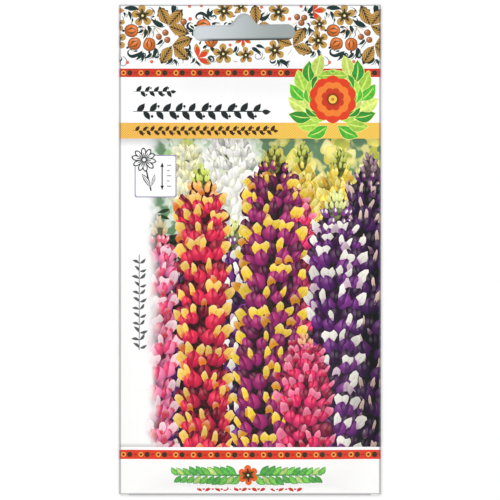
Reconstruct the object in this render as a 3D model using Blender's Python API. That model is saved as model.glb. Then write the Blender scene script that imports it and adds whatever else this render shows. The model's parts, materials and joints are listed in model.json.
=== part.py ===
"""A flat paper seed packet with a hang slot, and the seeds inside it.

The packet is one die-cut sheet. It is drawn flat, triangulated, and then folded: both sides turn
round to the back and lap over each other down the middle, and a tongue below the front turns up over
them. The header is glued flat and a hang slot is punched through all its layers. Below it the front
stands away from the flat back, most of all where the seeds lie.

Metres, +Z up. The front faces -Y and the back lies in the plane y = 0. The origin is the top of the
hang slot, where a peg carries the packet.
"""

import math
import random

import bmesh
import bpy
from mathutils import Matrix, Vector
from mathutils.geometry import delaunay_2d_cdt

MM = 0.001

# The packet's outside
WIDTH = 80.0 * MM
HEIGHT = 150.0 * MM
PAPER = 0.15 * MM
GLUE = 0.05 * MM
PITCH = PAPER + GLUE
FOLD_RADIUS = 1.5 * PITCH

# The hang slot: a long bar with round ends and a hump above its middle for the peg
SLOT_LENGTH = 31.2 * MM
SLOT_BAR = 4.8 * MM
SLOT_HUMP = 3.5 * MM
HUMP_FOOT = 9.6 * MM
HUMP_RADIUS = 2.8 * MM
HUMP_FLANK = math.radians(38)
HUMP_FILLET = 1.2 * MM
SLOT_TILT = math.radians(0.9)
TOP_ABOVE_SLOT = 2.6 * MM
MIDDLE_FROM_SLOT = 1.9 * MM

# Where the layers are glued
HEADER = 19.0 * MM
LAP = 10.0 * MM
TONGUE = 13.0 * MM
TONGUE_INSET = 2.6 * MM
TONGUE_CHAMFER = 4.0 * MM
RAMP = 2.0 * MM
EDGE_PLAY = 0.3 * MM
SIDE_EASE = 3.0 * MM

# How far the front stands away from the back. Each pair is where a smooth slope starts and ends:
# heights above the lower end, depths below the sealed header, or distances from the middle.
AIR = 0.9 * MM
AIR_LOW = (0.0 * MM, 30.0 * MM)
AIR_BELOW_HEADER = 24.0 * MM
SEED_ROOM = 3.55 * MM
SEEDS_LOW = (0.5 * MM, 8.0 * MM)
SEEDS_HIGH = (24.0 * MM, 58.0 * MM)
SEEDS_ASIDE = (17.0 * MM, 37.0 * MM)

# The seeds
SEED_SIZE = Vector((2.1, 1.2, 1.7)) * MM
SEED_CLEARANCE = 0.3 * MM
SEED_ROWS = (6, 7, 5, 2)
SEED_STEP_X = 4.7 * MM
SEED_STEP_Z = 4.2 * MM
LOWEST_SEED = 8.4 * MM
ROW_SAG = 1.4 * MM
ROW_SAG_AT = 15.0 * MM

# How finely the sheet is divided
CELL = 2.6 * MM
HEADER_CELL = 4.2 * MM
BACK_CELL = 8.0 * MM
ARC_STEPS = 5
ROUND_STEPS = 8
FILLET_STEPS = 4

TOP = TOP_ABOVE_SLOT
BOTTOM = TOP - HEIGHT
MIDDLE = MIDDLE_FROM_SLOT
FLAT_HALF = (WIDTH - PAPER) / 2 - FOLD_RADIUS
ARC = math.pi * FOLD_RADIUS
LAP_EDGE = LAP / 2
TONGUE_HALF = FLAT_HALF - TONGUE_INSET
FOLD_LINE = BOTTOM + PAPER / 2 + FOLD_RADIUS
TONGUE_END = FOLD_LINE - ARC - (TONGUE - FOLD_RADIUS)
BACK_EDGE = FLAT_HALF + ARC + FLAT_HALF + LAP_EDGE


def ramp(value, start, end):
    """0 before start, 1 after end, and a straight slope between them."""
    return min(1.0, max(0.0, (value - start) / (end - start)))


def ease(value, start, end):
    """0 before start, 1 after end, and a smooth slope between them."""
    t = ramp(value, start, end)
    return t * t * (3 - 2 * t)


# ---------------------------------------------------------------- the form of the folded sheet


def lap_step(across):
    """1 where the lap's under layer lies beneath its over layer, across = distance right of the middle."""
    rising = ramp(across, -LAP_EDGE - EDGE_PLAY - RAMP, -LAP_EDGE - EDGE_PLAY)
    falling = 1 - ramp(across, LAP_EDGE + EDGE_PLAY, LAP_EDGE + EDGE_PLAY + RAMP)
    return min(rising, falling)


def tongue_step(across, up):
    """1 where the glued tongue covers the back, up = height above the packet's lower end."""
    below = 1 - ramp(up, TONGUE + EDGE_PLAY, TONGUE + EDGE_PLAY + RAMP)
    inside = 1 - ramp(abs(across), TONGUE_HALF + EDGE_PLAY, TONGUE_HALF + EDGE_PLAY + RAMP)
    return below * inside


def room(across, up):
    """How far the front is pushed away from the back by air and by the seeds."""
    seal = HEIGHT - HEADER
    lens = max(0.0, 1 - (across / FLAT_HALF) ** 2)
    air = AIR * lens * ease(up, *AIR_LOW) * (1 - ease(up, seal - AIR_BELOW_HEADER, seal))
    beside = 1 - ease(abs(across), *SEEDS_ASIDE)
    along = ease(up, *SEEDS_LOW) * (1 - ease(up, *SEEDS_HIGH))
    return air + (SEED_ROOM - air) * beside * along


def under_depth(across, up):
    """Depth of the left back panel, which runs under the lap."""
    return PITCH * (lap_step(across) * (across < LAP_EDGE + EDGE_PLAY) + tongue_step(across, up))


def over_depth(across, up):
    """Depth of the right back panel, which lies over the lap."""
    return PITCH * tongue_step(across, up)


def front_depth(across, up):
    """Depth of the front panel. It comes in to the fold radius at both sides and at the lower end."""
    stack = PITCH * (1 + lap_step(across) + tongue_step(across, up))
    free = stack + room(across, up)
    side = ramp(abs(across), FLAT_HALF - SIDE_EASE, FLAT_HALF)
    lower = 1 - ramp(up, FOLD_LINE - BOTTOM, FOLD_LINE - BOTTOM + SIDE_EASE)
    return free + (2 * FOLD_RADIUS - free) * max(side, lower)


def folded(u, v):
    """Where a point of the flat sheet goes. u runs across the sheet from the front's middle, v is height."""
    side = math.copysign(1, u)
    out = abs(u)
    up = v - BOTTOM
    if v < FOLD_LINE and out < FLAT_HALF:
        turn = (FOLD_LINE - v) / FOLD_RADIUS
        if turn < math.pi:
            depth = FOLD_RADIUS * (1 + math.cos(turn))
            return place(u, depth, FOLD_LINE - FOLD_RADIUS * math.sin(turn))
        return place(u, 0, FOLD_LINE + (turn - math.pi) * FOLD_RADIUS)
    if out <= FLAT_HALF:
        return place(u, front_depth(u, up), v)
    if out < FLAT_HALF + ARC:
        turn = (out - FLAT_HALF) / FOLD_RADIUS
        across = side * (FLAT_HALF + FOLD_RADIUS * math.sin(turn))
        return place(across, FOLD_RADIUS * (1 + math.cos(turn)), v)
    across = side * (2 * FLAT_HALF + ARC - out)
    depth = over_depth(across, up) if side > 0 else under_depth(across, up)
    return place(across, depth, v)


def place(across, depth, z):
    """A point of the paper's middle layer, depth = its distance in front of the outermost back layer."""
    return Vector((MIDDLE + across, -PAPER / 2 - depth, z))


# ---------------------------------------------------------------- the flat die-cut sheet


def slot_outline():
    """The hang slot, anticlockwise, with the top of its hump at the origin."""
    half = SLOT_LENGTH / 2
    radius = SLOT_BAR / 2
    bar_top = -SLOT_HUMP
    points = []
    for end, start in ((1, -90), (-1, 90)):
        for step in range(ROUND_STEPS + 1):
            angle = math.radians(start + 180 * step / ROUND_STEPS)
            points.append((end * (half - radius) + radius * math.cos(angle),
                           bar_top - radius + radius * math.sin(angle)))
        if end == 1:
            points += hump_outline(bar_top)
    lean = Matrix.Rotation(SLOT_TILT, 2)
    return [lean @ Vector(point) for point in points]


def hump_outline(bar_top):
    """The hump from right to left: a fillet out of the bar, a straight flank, the round top and back."""
    foot = Vector((HUMP_FOOT / 2, bar_top))
    normal = Vector((math.cos(HUMP_FLANK), math.sin(HUMP_FLANK)))
    join = Vector((0, -HUMP_RADIUS)) + HUMP_RADIUS * normal
    flank = Vector((-normal.y, normal.x))
    corner = join + flank * ((bar_top - join.y) / flank.y)
    low = corner + flank * HUMP_FILLET
    right = []
    for step in range(FILLET_STEPS + 1):
        t = step / FILLET_STEPS
        right.append(foot * (1 - t) ** 2 + corner * 2 * t * (1 - t) + low * t ** 2)
    top = []
    for step in range(ROUND_STEPS + 1):
        angle = HUMP_FLANK + (math.pi - 2 * HUMP_FLANK) * step / ROUND_STEPS
        top.append(Vector((HUMP_RADIUS * math.cos(angle), HUMP_RADIUS * (math.sin(angle) - 1))))
    left = [Vector((-point.x, point.y)) for point in reversed(right)]
    return right + top + left


def sheet_outline():
    """The die-cut sheet: front, two back panels and the tongue below the front, anticlockwise."""
    right = [
        (TONGUE_HALF - TONGUE_CHAMFER, TONGUE_END),
        (TONGUE_HALF, TONGUE_END + TONGUE_CHAMFER),
        (TONGUE_HALF, FOLD_LINE),
        (BACK_EDGE, FOLD_LINE),
        (BACK_EDGE, TOP),
    ]
    return right + [(-u, v) for u, v in reversed(right)]


def sheet_columns():
    """Places across the sheet where it is divided, and how far down each one runs."""
    kinks = [LAP_EDGE + EDGE_PLAY, LAP_EDGE + EDGE_PLAY + RAMP, FLAT_HALF - SIDE_EASE, FLAT_HALF,
             TONGUE_HALF + EDGE_PLAY]
    front = spread(0, FLAT_HALF, CELL, kinks)
    arc = [FLAT_HALF + ARC * step / ARC_STEPS for step in range(1, ARC_STEPS + 1)]
    across = spread(-LAP_EDGE, FLAT_HALF, BACK_CELL,
                    [-LAP_EDGE, LAP_EDGE, -kinks[0], -kinks[1], kinks[0], kinks[4], kinks[4] + RAMP])
    back = [2 * FLAT_HALF + ARC - x for x in across if x < FLAT_HALF]
    right = front + arc + back
    return sorted({-u for u in right} | set(right))


def sheet_rows():
    """Heights where the sheet is divided, from the tongue's end to the top."""
    seal = TOP - HEADER
    kinks = [BOTTOM + TONGUE + EDGE_PLAY, BOTTOM + TONGUE + EDGE_PLAY + RAMP,
             FOLD_LINE + SIDE_EASE]
    front = spread(FOLD_LINE, seal, CELL, kinks) + spread(seal, TOP, HEADER_CELL, [])
    arc = [FOLD_LINE - ARC * step / ARC_STEPS for step in range(1, ARC_STEPS + 1)]
    tongue = [FOLD_LINE - ARC - TONGUE / 2]
    return sorted(set(front) | set(arc) | set(tongue))


def spread(start, end, cell, kinks):
    """start, end and the kinks between them, with the stretches between cut into cells."""
    marks = [start] + sorted(k for k in kinks if start < k < end) + [end]
    places = []
    for a, b in zip(marks, marks[1:]):
        count = max(1, round((b - a) / cell))
        places += [a + (b - a) * step / count for step in range(count)]
    return places + [end]


def flat_sheet():
    """The flat sheet as triangles: vertices, and the faces that lie on paper and not in the slot."""
    outline = sheet_outline()
    slot = [(point.x - MIDDLE, point.y) for point in slot_outline()]
    turn_over = 2 * FLAT_HALF + ARC
    slots = [
        slot,
        [(turn_over - x, z) for x, z in reversed(slot)],
        [(-turn_over - x, z) for x, z in reversed(slot)],
    ]
    points = []
    loops = []
    for loop in [outline] + slots:
        loops.append(list(range(len(points), len(points) + len(loop))))
        points += [Vector(point) for point in loop]
    edges = []
    rows = sheet_rows()
    for u in sheet_columns():
        column = []
        for v in rows:
            if inside_sheet(u, v):
                column.append(len(points))
                points.append(Vector((u, v)))
        edges += list(zip(column, column[1:]))
    made = delaunay_2d_cdt(points, edges, loops, 0, 1e-7, True)
    vertices, faces, owners = made[0], made[2], made[5]
    paper = [face for face, owner in zip(faces, owners) if owner == [0]]
    return vertices, paper


def inside_sheet(u, v):
    """True within the sheet's outline, its edges included."""
    if v >= FOLD_LINE:
        return True
    reach = TONGUE_HALF - max(0.0, TONGUE_END + TONGUE_CHAMFER - v)
    return v >= TONGUE_END and abs(u) <= reach


# ---------------------------------------------------------------- objects


def material(name, colour, roughness):
    made = bpy.data.materials.new(name)
    made.use_nodes = True
    shader = made.node_tree.nodes["Principled BSDF"]
    shader.inputs["Base Color"].default_value = (*colour, 1)
    shader.inputs["Roughness"].default_value = roughness
    shader.inputs["Metallic"].default_value = 0
    return made


def add_object(name, mesh, finish):
    made = bpy.data.objects.new(name, mesh)
    bpy.context.scene.collection.objects.link(made)
    if not mesh.materials:
        mesh.materials.append(finish)
    return made


def build_sheet(finish):
    """The folded packet: the flat sheet's middle layer, folded, then thickened to the paper."""
    flat, faces = flat_sheet()
    shape = bmesh.new()
    corners = [shape.verts.new(folded(point.x, point.y)) for point in flat]
    for face in faces:
        shape.faces.new([corners[i] for i in face])
    loose = [vertex for vertex in shape.verts if not vertex.link_faces]
    bmesh.ops.delete(shape, geom=loose, context="VERTS")
    mesh = bpy.data.meshes.new("packet_sheet")
    shape.to_mesh(mesh)
    shape.free()
    mesh.shade_smooth()
    sheet = add_object("packet_sheet", mesh, finish)
    thicken = sheet.modifiers.new("paper", "SOLIDIFY")
    thicken.thickness = PAPER
    thicken.offset = 0
    return sheet


def seed_mesh():
    """A plump seed, flatter on its sides, with a notch at the scar where it hung in the pod."""
    rings, sides = 10, 16
    shape = bmesh.new()
    bmesh.ops.create_uvsphere(shape, u_segments=sides, v_segments=rings, radius=1)
    bmesh.ops.rotate(shape, verts=shape.verts, matrix=Matrix.Rotation(math.pi / 2, 3, "Y"))
    scar = Vector((0.94, 0, -0.35)).normalized()
    for vertex in shape.verts:
        point = vertex.co.normalized()
        near = max(0.0, point.dot(scar))
        narrowing = 1 - 0.14 * max(0.0, point.x)
        notch = 1 - 0.13 * near ** 24
        vertex.co = Vector((point.x * SEED_SIZE.x, point.y * SEED_SIZE.y * narrowing,
                            point.z * SEED_SIZE.z * narrowing)) * notch
    mesh = bpy.data.meshes.new("seed")
    shape.to_mesh(mesh)
    shape.free()
    mesh.shade_smooth()
    return mesh


def build_seeds(finish):
    """Twenty seeds heaped at the bottom of the packet, each turned its own way in its row."""
    mesh = seed_mesh()
    draw = random.Random(7)
    back = -PAPER - 2 * PITCH - SEED_CLEARANCE
    number = 0
    for row, count in enumerate(SEED_ROWS):
        for place_in_row in range(count):
            number += 1
            seed = add_object(f"seed_{number:02d}", mesh, finish)
            across = (place_in_row - (count - 1) / 2) * SEED_STEP_X
            sag = ROW_SAG * (across / ROW_SAG_AT) ** 2
            size = draw.uniform(0.93, 1.0)
            seed.location = (MIDDLE + across, back - SEED_SIZE.y * size,
                             BOTTOM + LOWEST_SEED + row * SEED_STEP_Z + sag)
            seed.rotation_euler = (0, draw.uniform(0, 2 * math.pi), 0)
            seed.scale = (size, size, size)


def main():
    for old in list(bpy.data.objects):
        bpy.data.objects.remove(old)
    build_sheet(material("coated_paper", (0.93, 0.92, 0.90), 0.38))
    build_seeds(material("seed_coat", (0.16, 0.10, 0.06), 0.45))


main()
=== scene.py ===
# %% [markdown]
# # A printed paper seed packet
#
# A seed packet starts as one flat sheet of paper. It is printed, cut with a die, folded round to the back
# and glued, and a hang slot is punched through its header. This lesson makes it in the same order. The
# print is a set of flat patches of ink, each one on top of the last. One triangulation turns them into a
# flat mesh, and a formula folds that mesh into the packet. Nothing is projected or painted afterwards,
# so the print follows the paper round every fold.

# %% The frame
import json
import math
from functools import partial

import bpy
import numpy as np
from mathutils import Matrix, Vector
from mathutils.bvhtree import BVHTree
from mathutils.geometry import delaunay_2d_cdt

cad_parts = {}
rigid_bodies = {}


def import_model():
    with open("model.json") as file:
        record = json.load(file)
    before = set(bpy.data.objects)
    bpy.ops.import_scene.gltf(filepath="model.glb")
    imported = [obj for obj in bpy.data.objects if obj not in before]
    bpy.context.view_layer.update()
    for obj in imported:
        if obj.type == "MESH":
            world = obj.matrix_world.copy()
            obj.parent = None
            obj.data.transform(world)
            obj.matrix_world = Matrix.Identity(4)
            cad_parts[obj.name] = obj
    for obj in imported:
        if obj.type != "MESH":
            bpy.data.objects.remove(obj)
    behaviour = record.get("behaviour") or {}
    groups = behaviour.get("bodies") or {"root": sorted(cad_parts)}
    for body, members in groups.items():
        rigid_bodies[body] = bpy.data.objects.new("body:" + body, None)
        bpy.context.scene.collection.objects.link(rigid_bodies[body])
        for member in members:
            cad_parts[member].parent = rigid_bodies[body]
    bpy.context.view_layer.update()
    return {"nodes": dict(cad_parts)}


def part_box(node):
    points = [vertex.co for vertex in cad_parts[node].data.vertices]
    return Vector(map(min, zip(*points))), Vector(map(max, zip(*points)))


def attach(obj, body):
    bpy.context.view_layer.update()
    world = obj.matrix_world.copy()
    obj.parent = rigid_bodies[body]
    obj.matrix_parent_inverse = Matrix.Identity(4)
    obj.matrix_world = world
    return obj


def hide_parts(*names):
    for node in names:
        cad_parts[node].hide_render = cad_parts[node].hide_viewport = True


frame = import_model()
MM = 0.001
low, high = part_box("packet_sheet")
print("packet, mm:", [round(size / MM, 1) for size in high - low])

# %% [markdown]
# ## The camera
#
# The packet is seen straight from the front, with no visible perspective, as on a copying stand. A long
# lens from far away does that. How much it sees is worked out from the packet's height in the view.

# %% The camera
VIEW_SIDE_PX = 500
PACKET_HEIGHT_PX = 490.2
STAND_OFF = 1.6
seen_height = (high.z - low.z) * VIEW_SIDE_PX / PACKET_HEIGHT_PX
lens = bpy.data.cameras.new("long lens")
lens.lens = lens.sensor_width * STAND_OFF / seen_height
camera = bpy.data.objects.new("camera", lens)
camera.location = ((low.x + high.x) / 2, high.y - STAND_OFF, (low.z + high.z) / 2)
camera.rotation_euler = (math.pi / 2, 0, 0)
bpy.context.scene.collection.objects.link(camera)
bpy.context.scene.camera = camera
bpy.context.scene.view_settings.view_transform = "Standard"
print(f"{seen_height / MM:.1f} mm seen through a lens of {lens.lens:.0f} mm")

# %% [markdown]
# ## Sums on sockets
#
# Shaders and Geometry Nodes are both made of sums, and sums are easier to read as sums. `Wire` holds the
# output of a node. Adding or multiplying wires adds the Math nodes that do it. `Wire.node` makes any other
# kind of node: its settings are made first, because some of them change which sockets the node has.


# %% Sums on sockets
class Wire:
    """A node's output, which can stand in a sum."""

    def __init__(self, socket):
        self.socket = socket

    @staticmethod
    def node(tree, kind, settings=None, sockets=None, output=0):
        """A new node of that type, with its settings, then its sockets as values or wires."""
        made = tree.nodes.new(kind)
        for name, value in (settings or {}).items():
            setattr(made, name, value)
        for name, value in (sockets or {}).items():
            socket = made.inputs[name] if isinstance(name, int) else Wire.named(made.inputs, name)
            if isinstance(value, Wire):
                tree.links.new(value.socket, socket)
            else:
                socket.default_value = value
        socket = made.outputs[output] if isinstance(output, int) else Wire.named(made.outputs, output)
        return Wire(socket)

    @staticmethod
    def named(sockets, name):
        """The socket with this identifier, or else with this name."""
        return next((s for s in sockets if s.identifier == name), None) or sockets[name]

    def into(self, node, name):
        """Links the wire to that input of a node."""
        self.socket.id_data.links.new(self.socket, node.inputs[name])

    def maths(self, operation, first, second=0.0):
        """The wire of a new Math node."""
        tree = self.socket.id_data
        return Wire.node(tree, "ShaderNodeMath", {"operation": operation}, {0: first, 1: second})

    def __add__(self, other):
        return self.maths("ADD", self, other)

    def __radd__(self, other):
        return self.maths("ADD", other, self)

    def __sub__(self, other):
        return self.maths("SUBTRACT", self, other)

    def __rsub__(self, other):
        return self.maths("SUBTRACT", other, self)

    def __mul__(self, other):
        return self.maths("MULTIPLY", self, other)

    def __rmul__(self, other):
        return self.maths("MULTIPLY", other, self)

    def __abs__(self):
        return self.maths("ABSOLUTE", self)

    def fraction(self):
        """What is left of the wire above a whole number, so that a pattern repeats at every 1."""
        return self.maths("FRACT", self)

    def scaled(self, share):
        """A colour or a vector, all of it times share."""
        return Wire.node(self.socket.id_data, "ShaderNodeVectorMath", {"operation": "SCALE"},
                         {0: self, "Scale": share}, "Vector")

    def step(self, start, end):
        """0 before start, 1 after end and smooth between. start may be the larger one."""
        tree = self.socket.id_data
        settings = {"interpolation_type": "SMOOTHSTEP"}
        if start < end:
            return Wire.node(tree, "ShaderNodeMapRange", settings,
                             {"Value": self, "From Min": start, "From Max": end})
        return 1 - Wire.node(tree, "ShaderNodeMapRange", settings,
                             {"Value": self, "From Min": end, "From Max": start})

    def near(self, place, reach):
        """1 where the wire is at that value, 0 from reach away on, smooth between."""
        return abs(self - place).step(reach, 0)

    def is_code(self, code):
        """1 where the wire holds this whole number, and 0 elsewhere."""
        tree = self.socket.id_data
        return Wire.node(tree, "ShaderNodeMath", {"operation": "COMPARE"}, {0: self, 1: code, 2: 0.5})


def mixed(factor, first, second, blend="MIX"):
    """Colour first, turned into second by factor. Either may be a colour or a wire."""
    wire = next(x for x in (factor, first, second) if isinstance(x, Wire))
    four = [x if isinstance(x, Wire) else (*x, 1) for x in (first, second)]
    return Wire.node(wire.socket.id_data, "ShaderNodeMix", {"data_type": "RGBA", "blend_type": blend},
                     {"Factor_Float": factor, "A_Color": four[0], "B_Color": four[1]}, "Result_Color")


# %% Inks and materials
def new_material(name):
    """A material whose only nodes are its output and a Principled shader."""
    made = bpy.data.materials.new(name)
    made.use_nodes = True
    return made, made.node_tree, made.node_tree.nodes["Principled BSDF"]


def linear(*colour):
    """A printed colour, given from 0 to 255 a channel, as the light that it returns."""
    return tuple((c / 255 / 12.92 if c <= 10 else ((c / 255 + 0.055) / 1.055) ** 2.4) for c in colour)


print("middle grey returns", [round(part, 2) for part in linear(128, 128, 128)], "of the light")

# %% [markdown]
# ## The studio
#
# The floor and the board behind the packet are plain white, and the sky is a white tent, so nothing but the
# packet is seen. The board is there for what looks at the packet's front. It casts no shadow and is open
# from behind, so the packet's back can be looked at too.

# %% The floor and the board
FLOOR_BELOW = 22 * MM
FLOOR_HALF = 4.0
FLOOR_WHITE = (0.93, 0.93, 0.93)
BOARD_BEHIND = 0.12 * MM
BOARD_HALF = 0.4
BOARD_WHITE = (0.99, 0.99, 0.99)


def stage_plane(name, corners):
    """A square that belongs to the studio and not to the packet."""
    mesh = bpy.data.meshes.new(name)
    mesh.from_pydata(corners, [], [(0, 1, 2, 3)])
    plane = bpy.data.objects.new(name, mesh)
    bpy.context.scene.collection.objects.link(plane)
    return plane


def stage_white(name, colour):
    """A dull white, with its node tree and its shader."""
    made, tree, shader = new_material(name)
    shader.inputs["Base Color"].default_value = (*colour, 1)
    shader.inputs["Roughness"].default_value = 0.9
    shader.inputs["Specular IOR Level"].default_value = 0.1
    return made, tree, shader


floor = stage_plane("floor", [(x * FLOOR_HALF, y * FLOOR_HALF, low.z - FLOOR_BELOW)
                              for x, y in ((-1, -1), (1, -1), (1, 1), (-1, 1))])
floor.data.materials.append(stage_white("floor white", FLOOR_WHITE)[0])
board = stage_plane("board", [(x * BOARD_HALF, high.y + BOARD_BEHIND, low.z - FLOOR_BELOW + z * BOARD_HALF)
                              for x, z in ((-1, 0), (1, 0), (1, 2), (-1, 2))])
board.visible_shadow = board.visible_diffuse = board.visible_glossy = False
print(f"floor {FLOOR_BELOW / MM:.0f} mm below the packet, board {BOARD_BEHIND / MM:.2f} mm behind it")

# %% [markdown]
# Only the hang slot lets the board be seen through the packet. There the board carries painted shade: grey,
# darker to the right, with a near black painted shadow along the slot's foot. On its back the board is clear.

# %% The board's white and the painted shade behind the slot
GREY_ASIDE = (22 * MM, 18 * MM)
GREY_BELOW = 6 * MM
GREY_UP_DOWN = (9 * MM, 7 * MM)
GREY_TURN = (-14 * MM, 12 * MM)
GREY_LEFT, GREY_RIGHT, SLOT_BLACK = linear(204, 210, 213), linear(158, 166, 165), linear(22, 26, 28)
SLOT_FOOT = -8.42 * MM
SLOT_SLOPE = 0.012
SHADOW_UP = (1.15 * MM, 0.35 * MM)
SHADOW_ACROSS = (-16 * MM, -9 * MM)
board_white, tree, shader = stage_white("board white", BOARD_WHITE)
place = Wire.node(tree, "ShaderNodeTexCoord", output="Object")
across = Wire.node(tree, "ShaderNodeSeparateXYZ", None, {0: place}, "X")
up = Wire.node(tree, "ShaderNodeSeparateXYZ", None, {0: place}, "Z")
# Painted shade: grey behind the slot, darker to the right, with a painted shadow along the slot's foot
behind_slot = abs(across).step(*GREY_ASIDE) * abs(up + GREY_BELOW).step(*GREY_UP_DOWN)
slot_painted_shade = mixed(across.step(*GREY_TURN), GREY_LEFT, GREY_RIGHT)
slot_foot = SLOT_FOOT + across * SLOT_SLOPE
slot_shadow = (up - slot_foot).step(*SHADOW_UP) * across.step(*SHADOW_ACROSS)
slot_painted_shade = mixed(slot_shadow * 0.9, slot_painted_shade, SLOT_BLACK)
mixed(behind_slot, BOARD_WHITE, slot_painted_shade).into(shader, "Base Color")
open_side = Wire.node(tree, "ShaderNodeNewGeometry", output="Backfacing")
clear = Wire.node(tree, "ShaderNodeBsdfTransparent")
shown = Wire.node(tree, "ShaderNodeMixShader", None, {0: open_side, 1: Wire(shader.outputs[0]), 2: clear})
shown.into(tree.nodes["Material Output"], "Surface")
board.data.materials.append(board_white)
print(len(tree.nodes), "nodes in the board's white")

# %% [markdown]
# The sky is full white for the camera and dimmer for the packet, which the lamps light from the left, from
# the right and, for its back, from behind.

# %% The tent and the lamps
TENT = 0.60
world = bpy.data.worlds.new("tent")
bpy.context.scene.world = world
world.use_nodes = True
sky = world.node_tree
seen = Wire.node(sky, "ShaderNodeLightPath", output="Is Camera Ray")
(seen * (1 - TENT) + TENT).into(sky.nodes["Background"], "Strength")
sky.nodes["Background"].inputs["Color"].default_value = (1, 1, 1, 1)


def soft_light(name, place, size, watts):
    """A square area light that looks at the middle of the packet."""
    lamp = bpy.data.lights.new(name, "AREA")
    lamp.size = size
    lamp.energy = watts
    lit = bpy.data.objects.new(name, lamp)
    middle = (low + high) / 2
    lit.location = middle + Vector(place)
    lit.rotation_euler = (-Vector(place)).to_track_quat("-Z", "Y").to_euler()
    bpy.context.scene.collection.objects.link(lit)


# Each lamp: where it stands from the packet's middle and its side, in metres, and its watts
LAMPS = {"key": ((-0.9, -1.1, 0.9), 0.7, 8.8), "fill": ((0.8, -1.5, 0.3), 0.7, 4.6),
         "back": ((0.5, 1.2, 0.9), 0.8, 9)}
for name, (place, size, watts) in LAMPS.items():
    soft_light(name, place, size, watts)
print("lamps:", ", ".join(LAMPS))

# %% [markdown]
# ## How the sheet is folded
#
# The packet's form is a formula. It takes a place on the flat sheet, u across from the front's middle and
# v up, and gives the place in the folded packet. Both sides turn round to the back through a half circle,
# the right one lies over the left one down the middle, and a tongue below the front turns up over them
# both. Each layer lies one pitch, paper and glue, in front of the one behind it. The same formula folds
# every point of the print, so it is written for whole arrays of points.

# %% The folded packet's sizes
PAPER = 0.15 * MM
GLUE = 0.05 * MM
PITCH = PAPER + GLUE
FOLD_RADIUS = 1.5 * PITCH
MIDDLE = (low.x + high.x) / 2
TOP = high.z
BOTTOM = low.z
WIDTH = high.x - low.x
HEIGHT = TOP - BOTTOM
FLAT_HALF = (WIDTH - PAPER) / 2 - FOLD_RADIUS
ARC = math.pi * FOLD_RADIUS
FOLD_LINE = BOTTOM + PAPER / 2 + FOLD_RADIUS
LAP_EDGE = 5.0 * MM
BACK_EDGE = FLAT_HALF + ARC + FLAT_HALF + LAP_EDGE
TONGUE = 13.0 * MM
TONGUE_HALF = FLAT_HALF - 2.6 * MM
TONGUE_CHAMFER = 4.0 * MM
TONGUE_END = FOLD_LINE - ARC - (TONGUE - FOLD_RADIUS)
RAMP = 2.0 * MM
EDGE_PLAY = 0.3 * MM
SIDE_EASE = 3.0 * MM
HEADER = 19.0 * MM
print(f"front {2 * FLAT_HALF / MM:.1f} mm flat between side folds {ARC / MM:.2f} mm round")


# %% Steps where layers lie over each other
def ramp(value, start, end):
    """0 before start, 1 after end and straight between."""
    return np.clip((value - start) / (end - start), 0, 1)


def ease(value, start, end):
    """As a ramp, but smooth at both ends."""
    t = ramp(value, start, end)
    return t * t * (3 - 2 * t)


def lap_step(across):
    """1 over the lap down the middle, where the back is one layer thicker, and 0 beside it."""
    rising = ramp(across, -LAP_EDGE - EDGE_PLAY - RAMP, -LAP_EDGE - EDGE_PLAY)
    falling = 1 - ramp(across, LAP_EDGE + EDGE_PLAY, LAP_EDGE + EDGE_PLAY + RAMP)
    return np.minimum(rising, falling)


def tongue_step(across, up):
    """1 over the tongue at the foot and 0 round it."""
    below = 1 - ramp(up, TONGUE + EDGE_PLAY, TONGUE + EDGE_PLAY + RAMP)
    return below * (1 - ramp(abs(across), TONGUE_HALF + EDGE_PLAY, TONGUE_HALF + EDGE_PLAY + RAMP))


layers = 2 + lap_step(np.zeros(1)) + tongue_step(np.zeros(1), np.zeros(1))
print("layers at the middle of the foot:", int(layers[0]))

# %% [markdown]
# A filled packet is never quite flat. Its front has a few soft creases that run in from its corners, and
# the seeds show as small bumps. Both die out before the folds and the seal, where the paper is held flat.

# %% Creases and seed bumps
SEED_BUMP = 0.16 * MM
SEED_REACH = 2.4 * MM
CREASE_START, CREASE_END = (-0.3, 0.35), (0.65, 1.3)
FLAT_SIDE, FLAT_BELOW_SEAL = 9 * MM, 8 * MM
FLAT_FOOT = (1 * MM, 7 * MM)
seed_places = []
for name in sorted(frame["nodes"]):
    if name.startswith("seed"):
        corner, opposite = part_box(name)
        seed_places.append(((corner.x + opposite.x) / 2 - MIDDLE, (corner.z + opposite.z) / 2 - BOTTOM))

# A crease is a soft ridge in the front: its two ends (across, up), how wide it is and how high, in mm
CREASES = [
    ((-33, 126), (-15, 108), 2.6, 0.16),
    ((34, 127), (19, 112), 2.8, 0.14),
    ((-8, 129), (6, 112), 3.4, 0.12),
    ((-36, 34), (-24, 46), 3.2, 0.22),
    ((37, 26), (25, 44), 3.0, 0.22),
    ((-35, 12), (-22, 7), 2.6, 0.20),
    ((35, 10), (22, 6), 2.6, 0.20),
    ((36, 82), (22, 70), 4.0, 0.12),
]


def creases(across, up):
    """The height of the soft ridges that a filled packet has, which die out before its edges."""
    rise = np.zeros_like(across)
    for start, end, width, height in CREASES:
        start, end = np.array(start) * MM, np.array(end) * MM
        along = end - start
        t = ((across - start[0]) * along[0] + (up - start[1]) * along[1]) / (along @ along)
        aside = ((across - start[0]) * along[1] - (up - start[1]) * along[0]) / np.linalg.norm(along)
        ends = ease(t, *CREASE_START) * (1 - ease(t, *CREASE_END))
        rise += height * MM * np.exp(-(aside / (width * MM)) ** 2) * ends
    for seed_across, seed_up in seed_places:
        apart = (across - seed_across) ** 2 + (up - seed_up) ** 2
        rise += SEED_BUMP * np.exp(-apart / SEED_REACH ** 2)
    inside = 1 - ease(abs(across), FLAT_HALF - FLAT_SIDE, FLAT_HALF - SIDE_EASE)
    below_seal = 1 - ease(up, HEIGHT - HEADER - FLAT_BELOW_SEAL, HEIGHT - HEADER)
    return rise * inside * ease(up, *FLAT_FOOT) * below_seal


print(f"{len(CREASES)} creases and {len(seed_places)} seed bumps")

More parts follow.
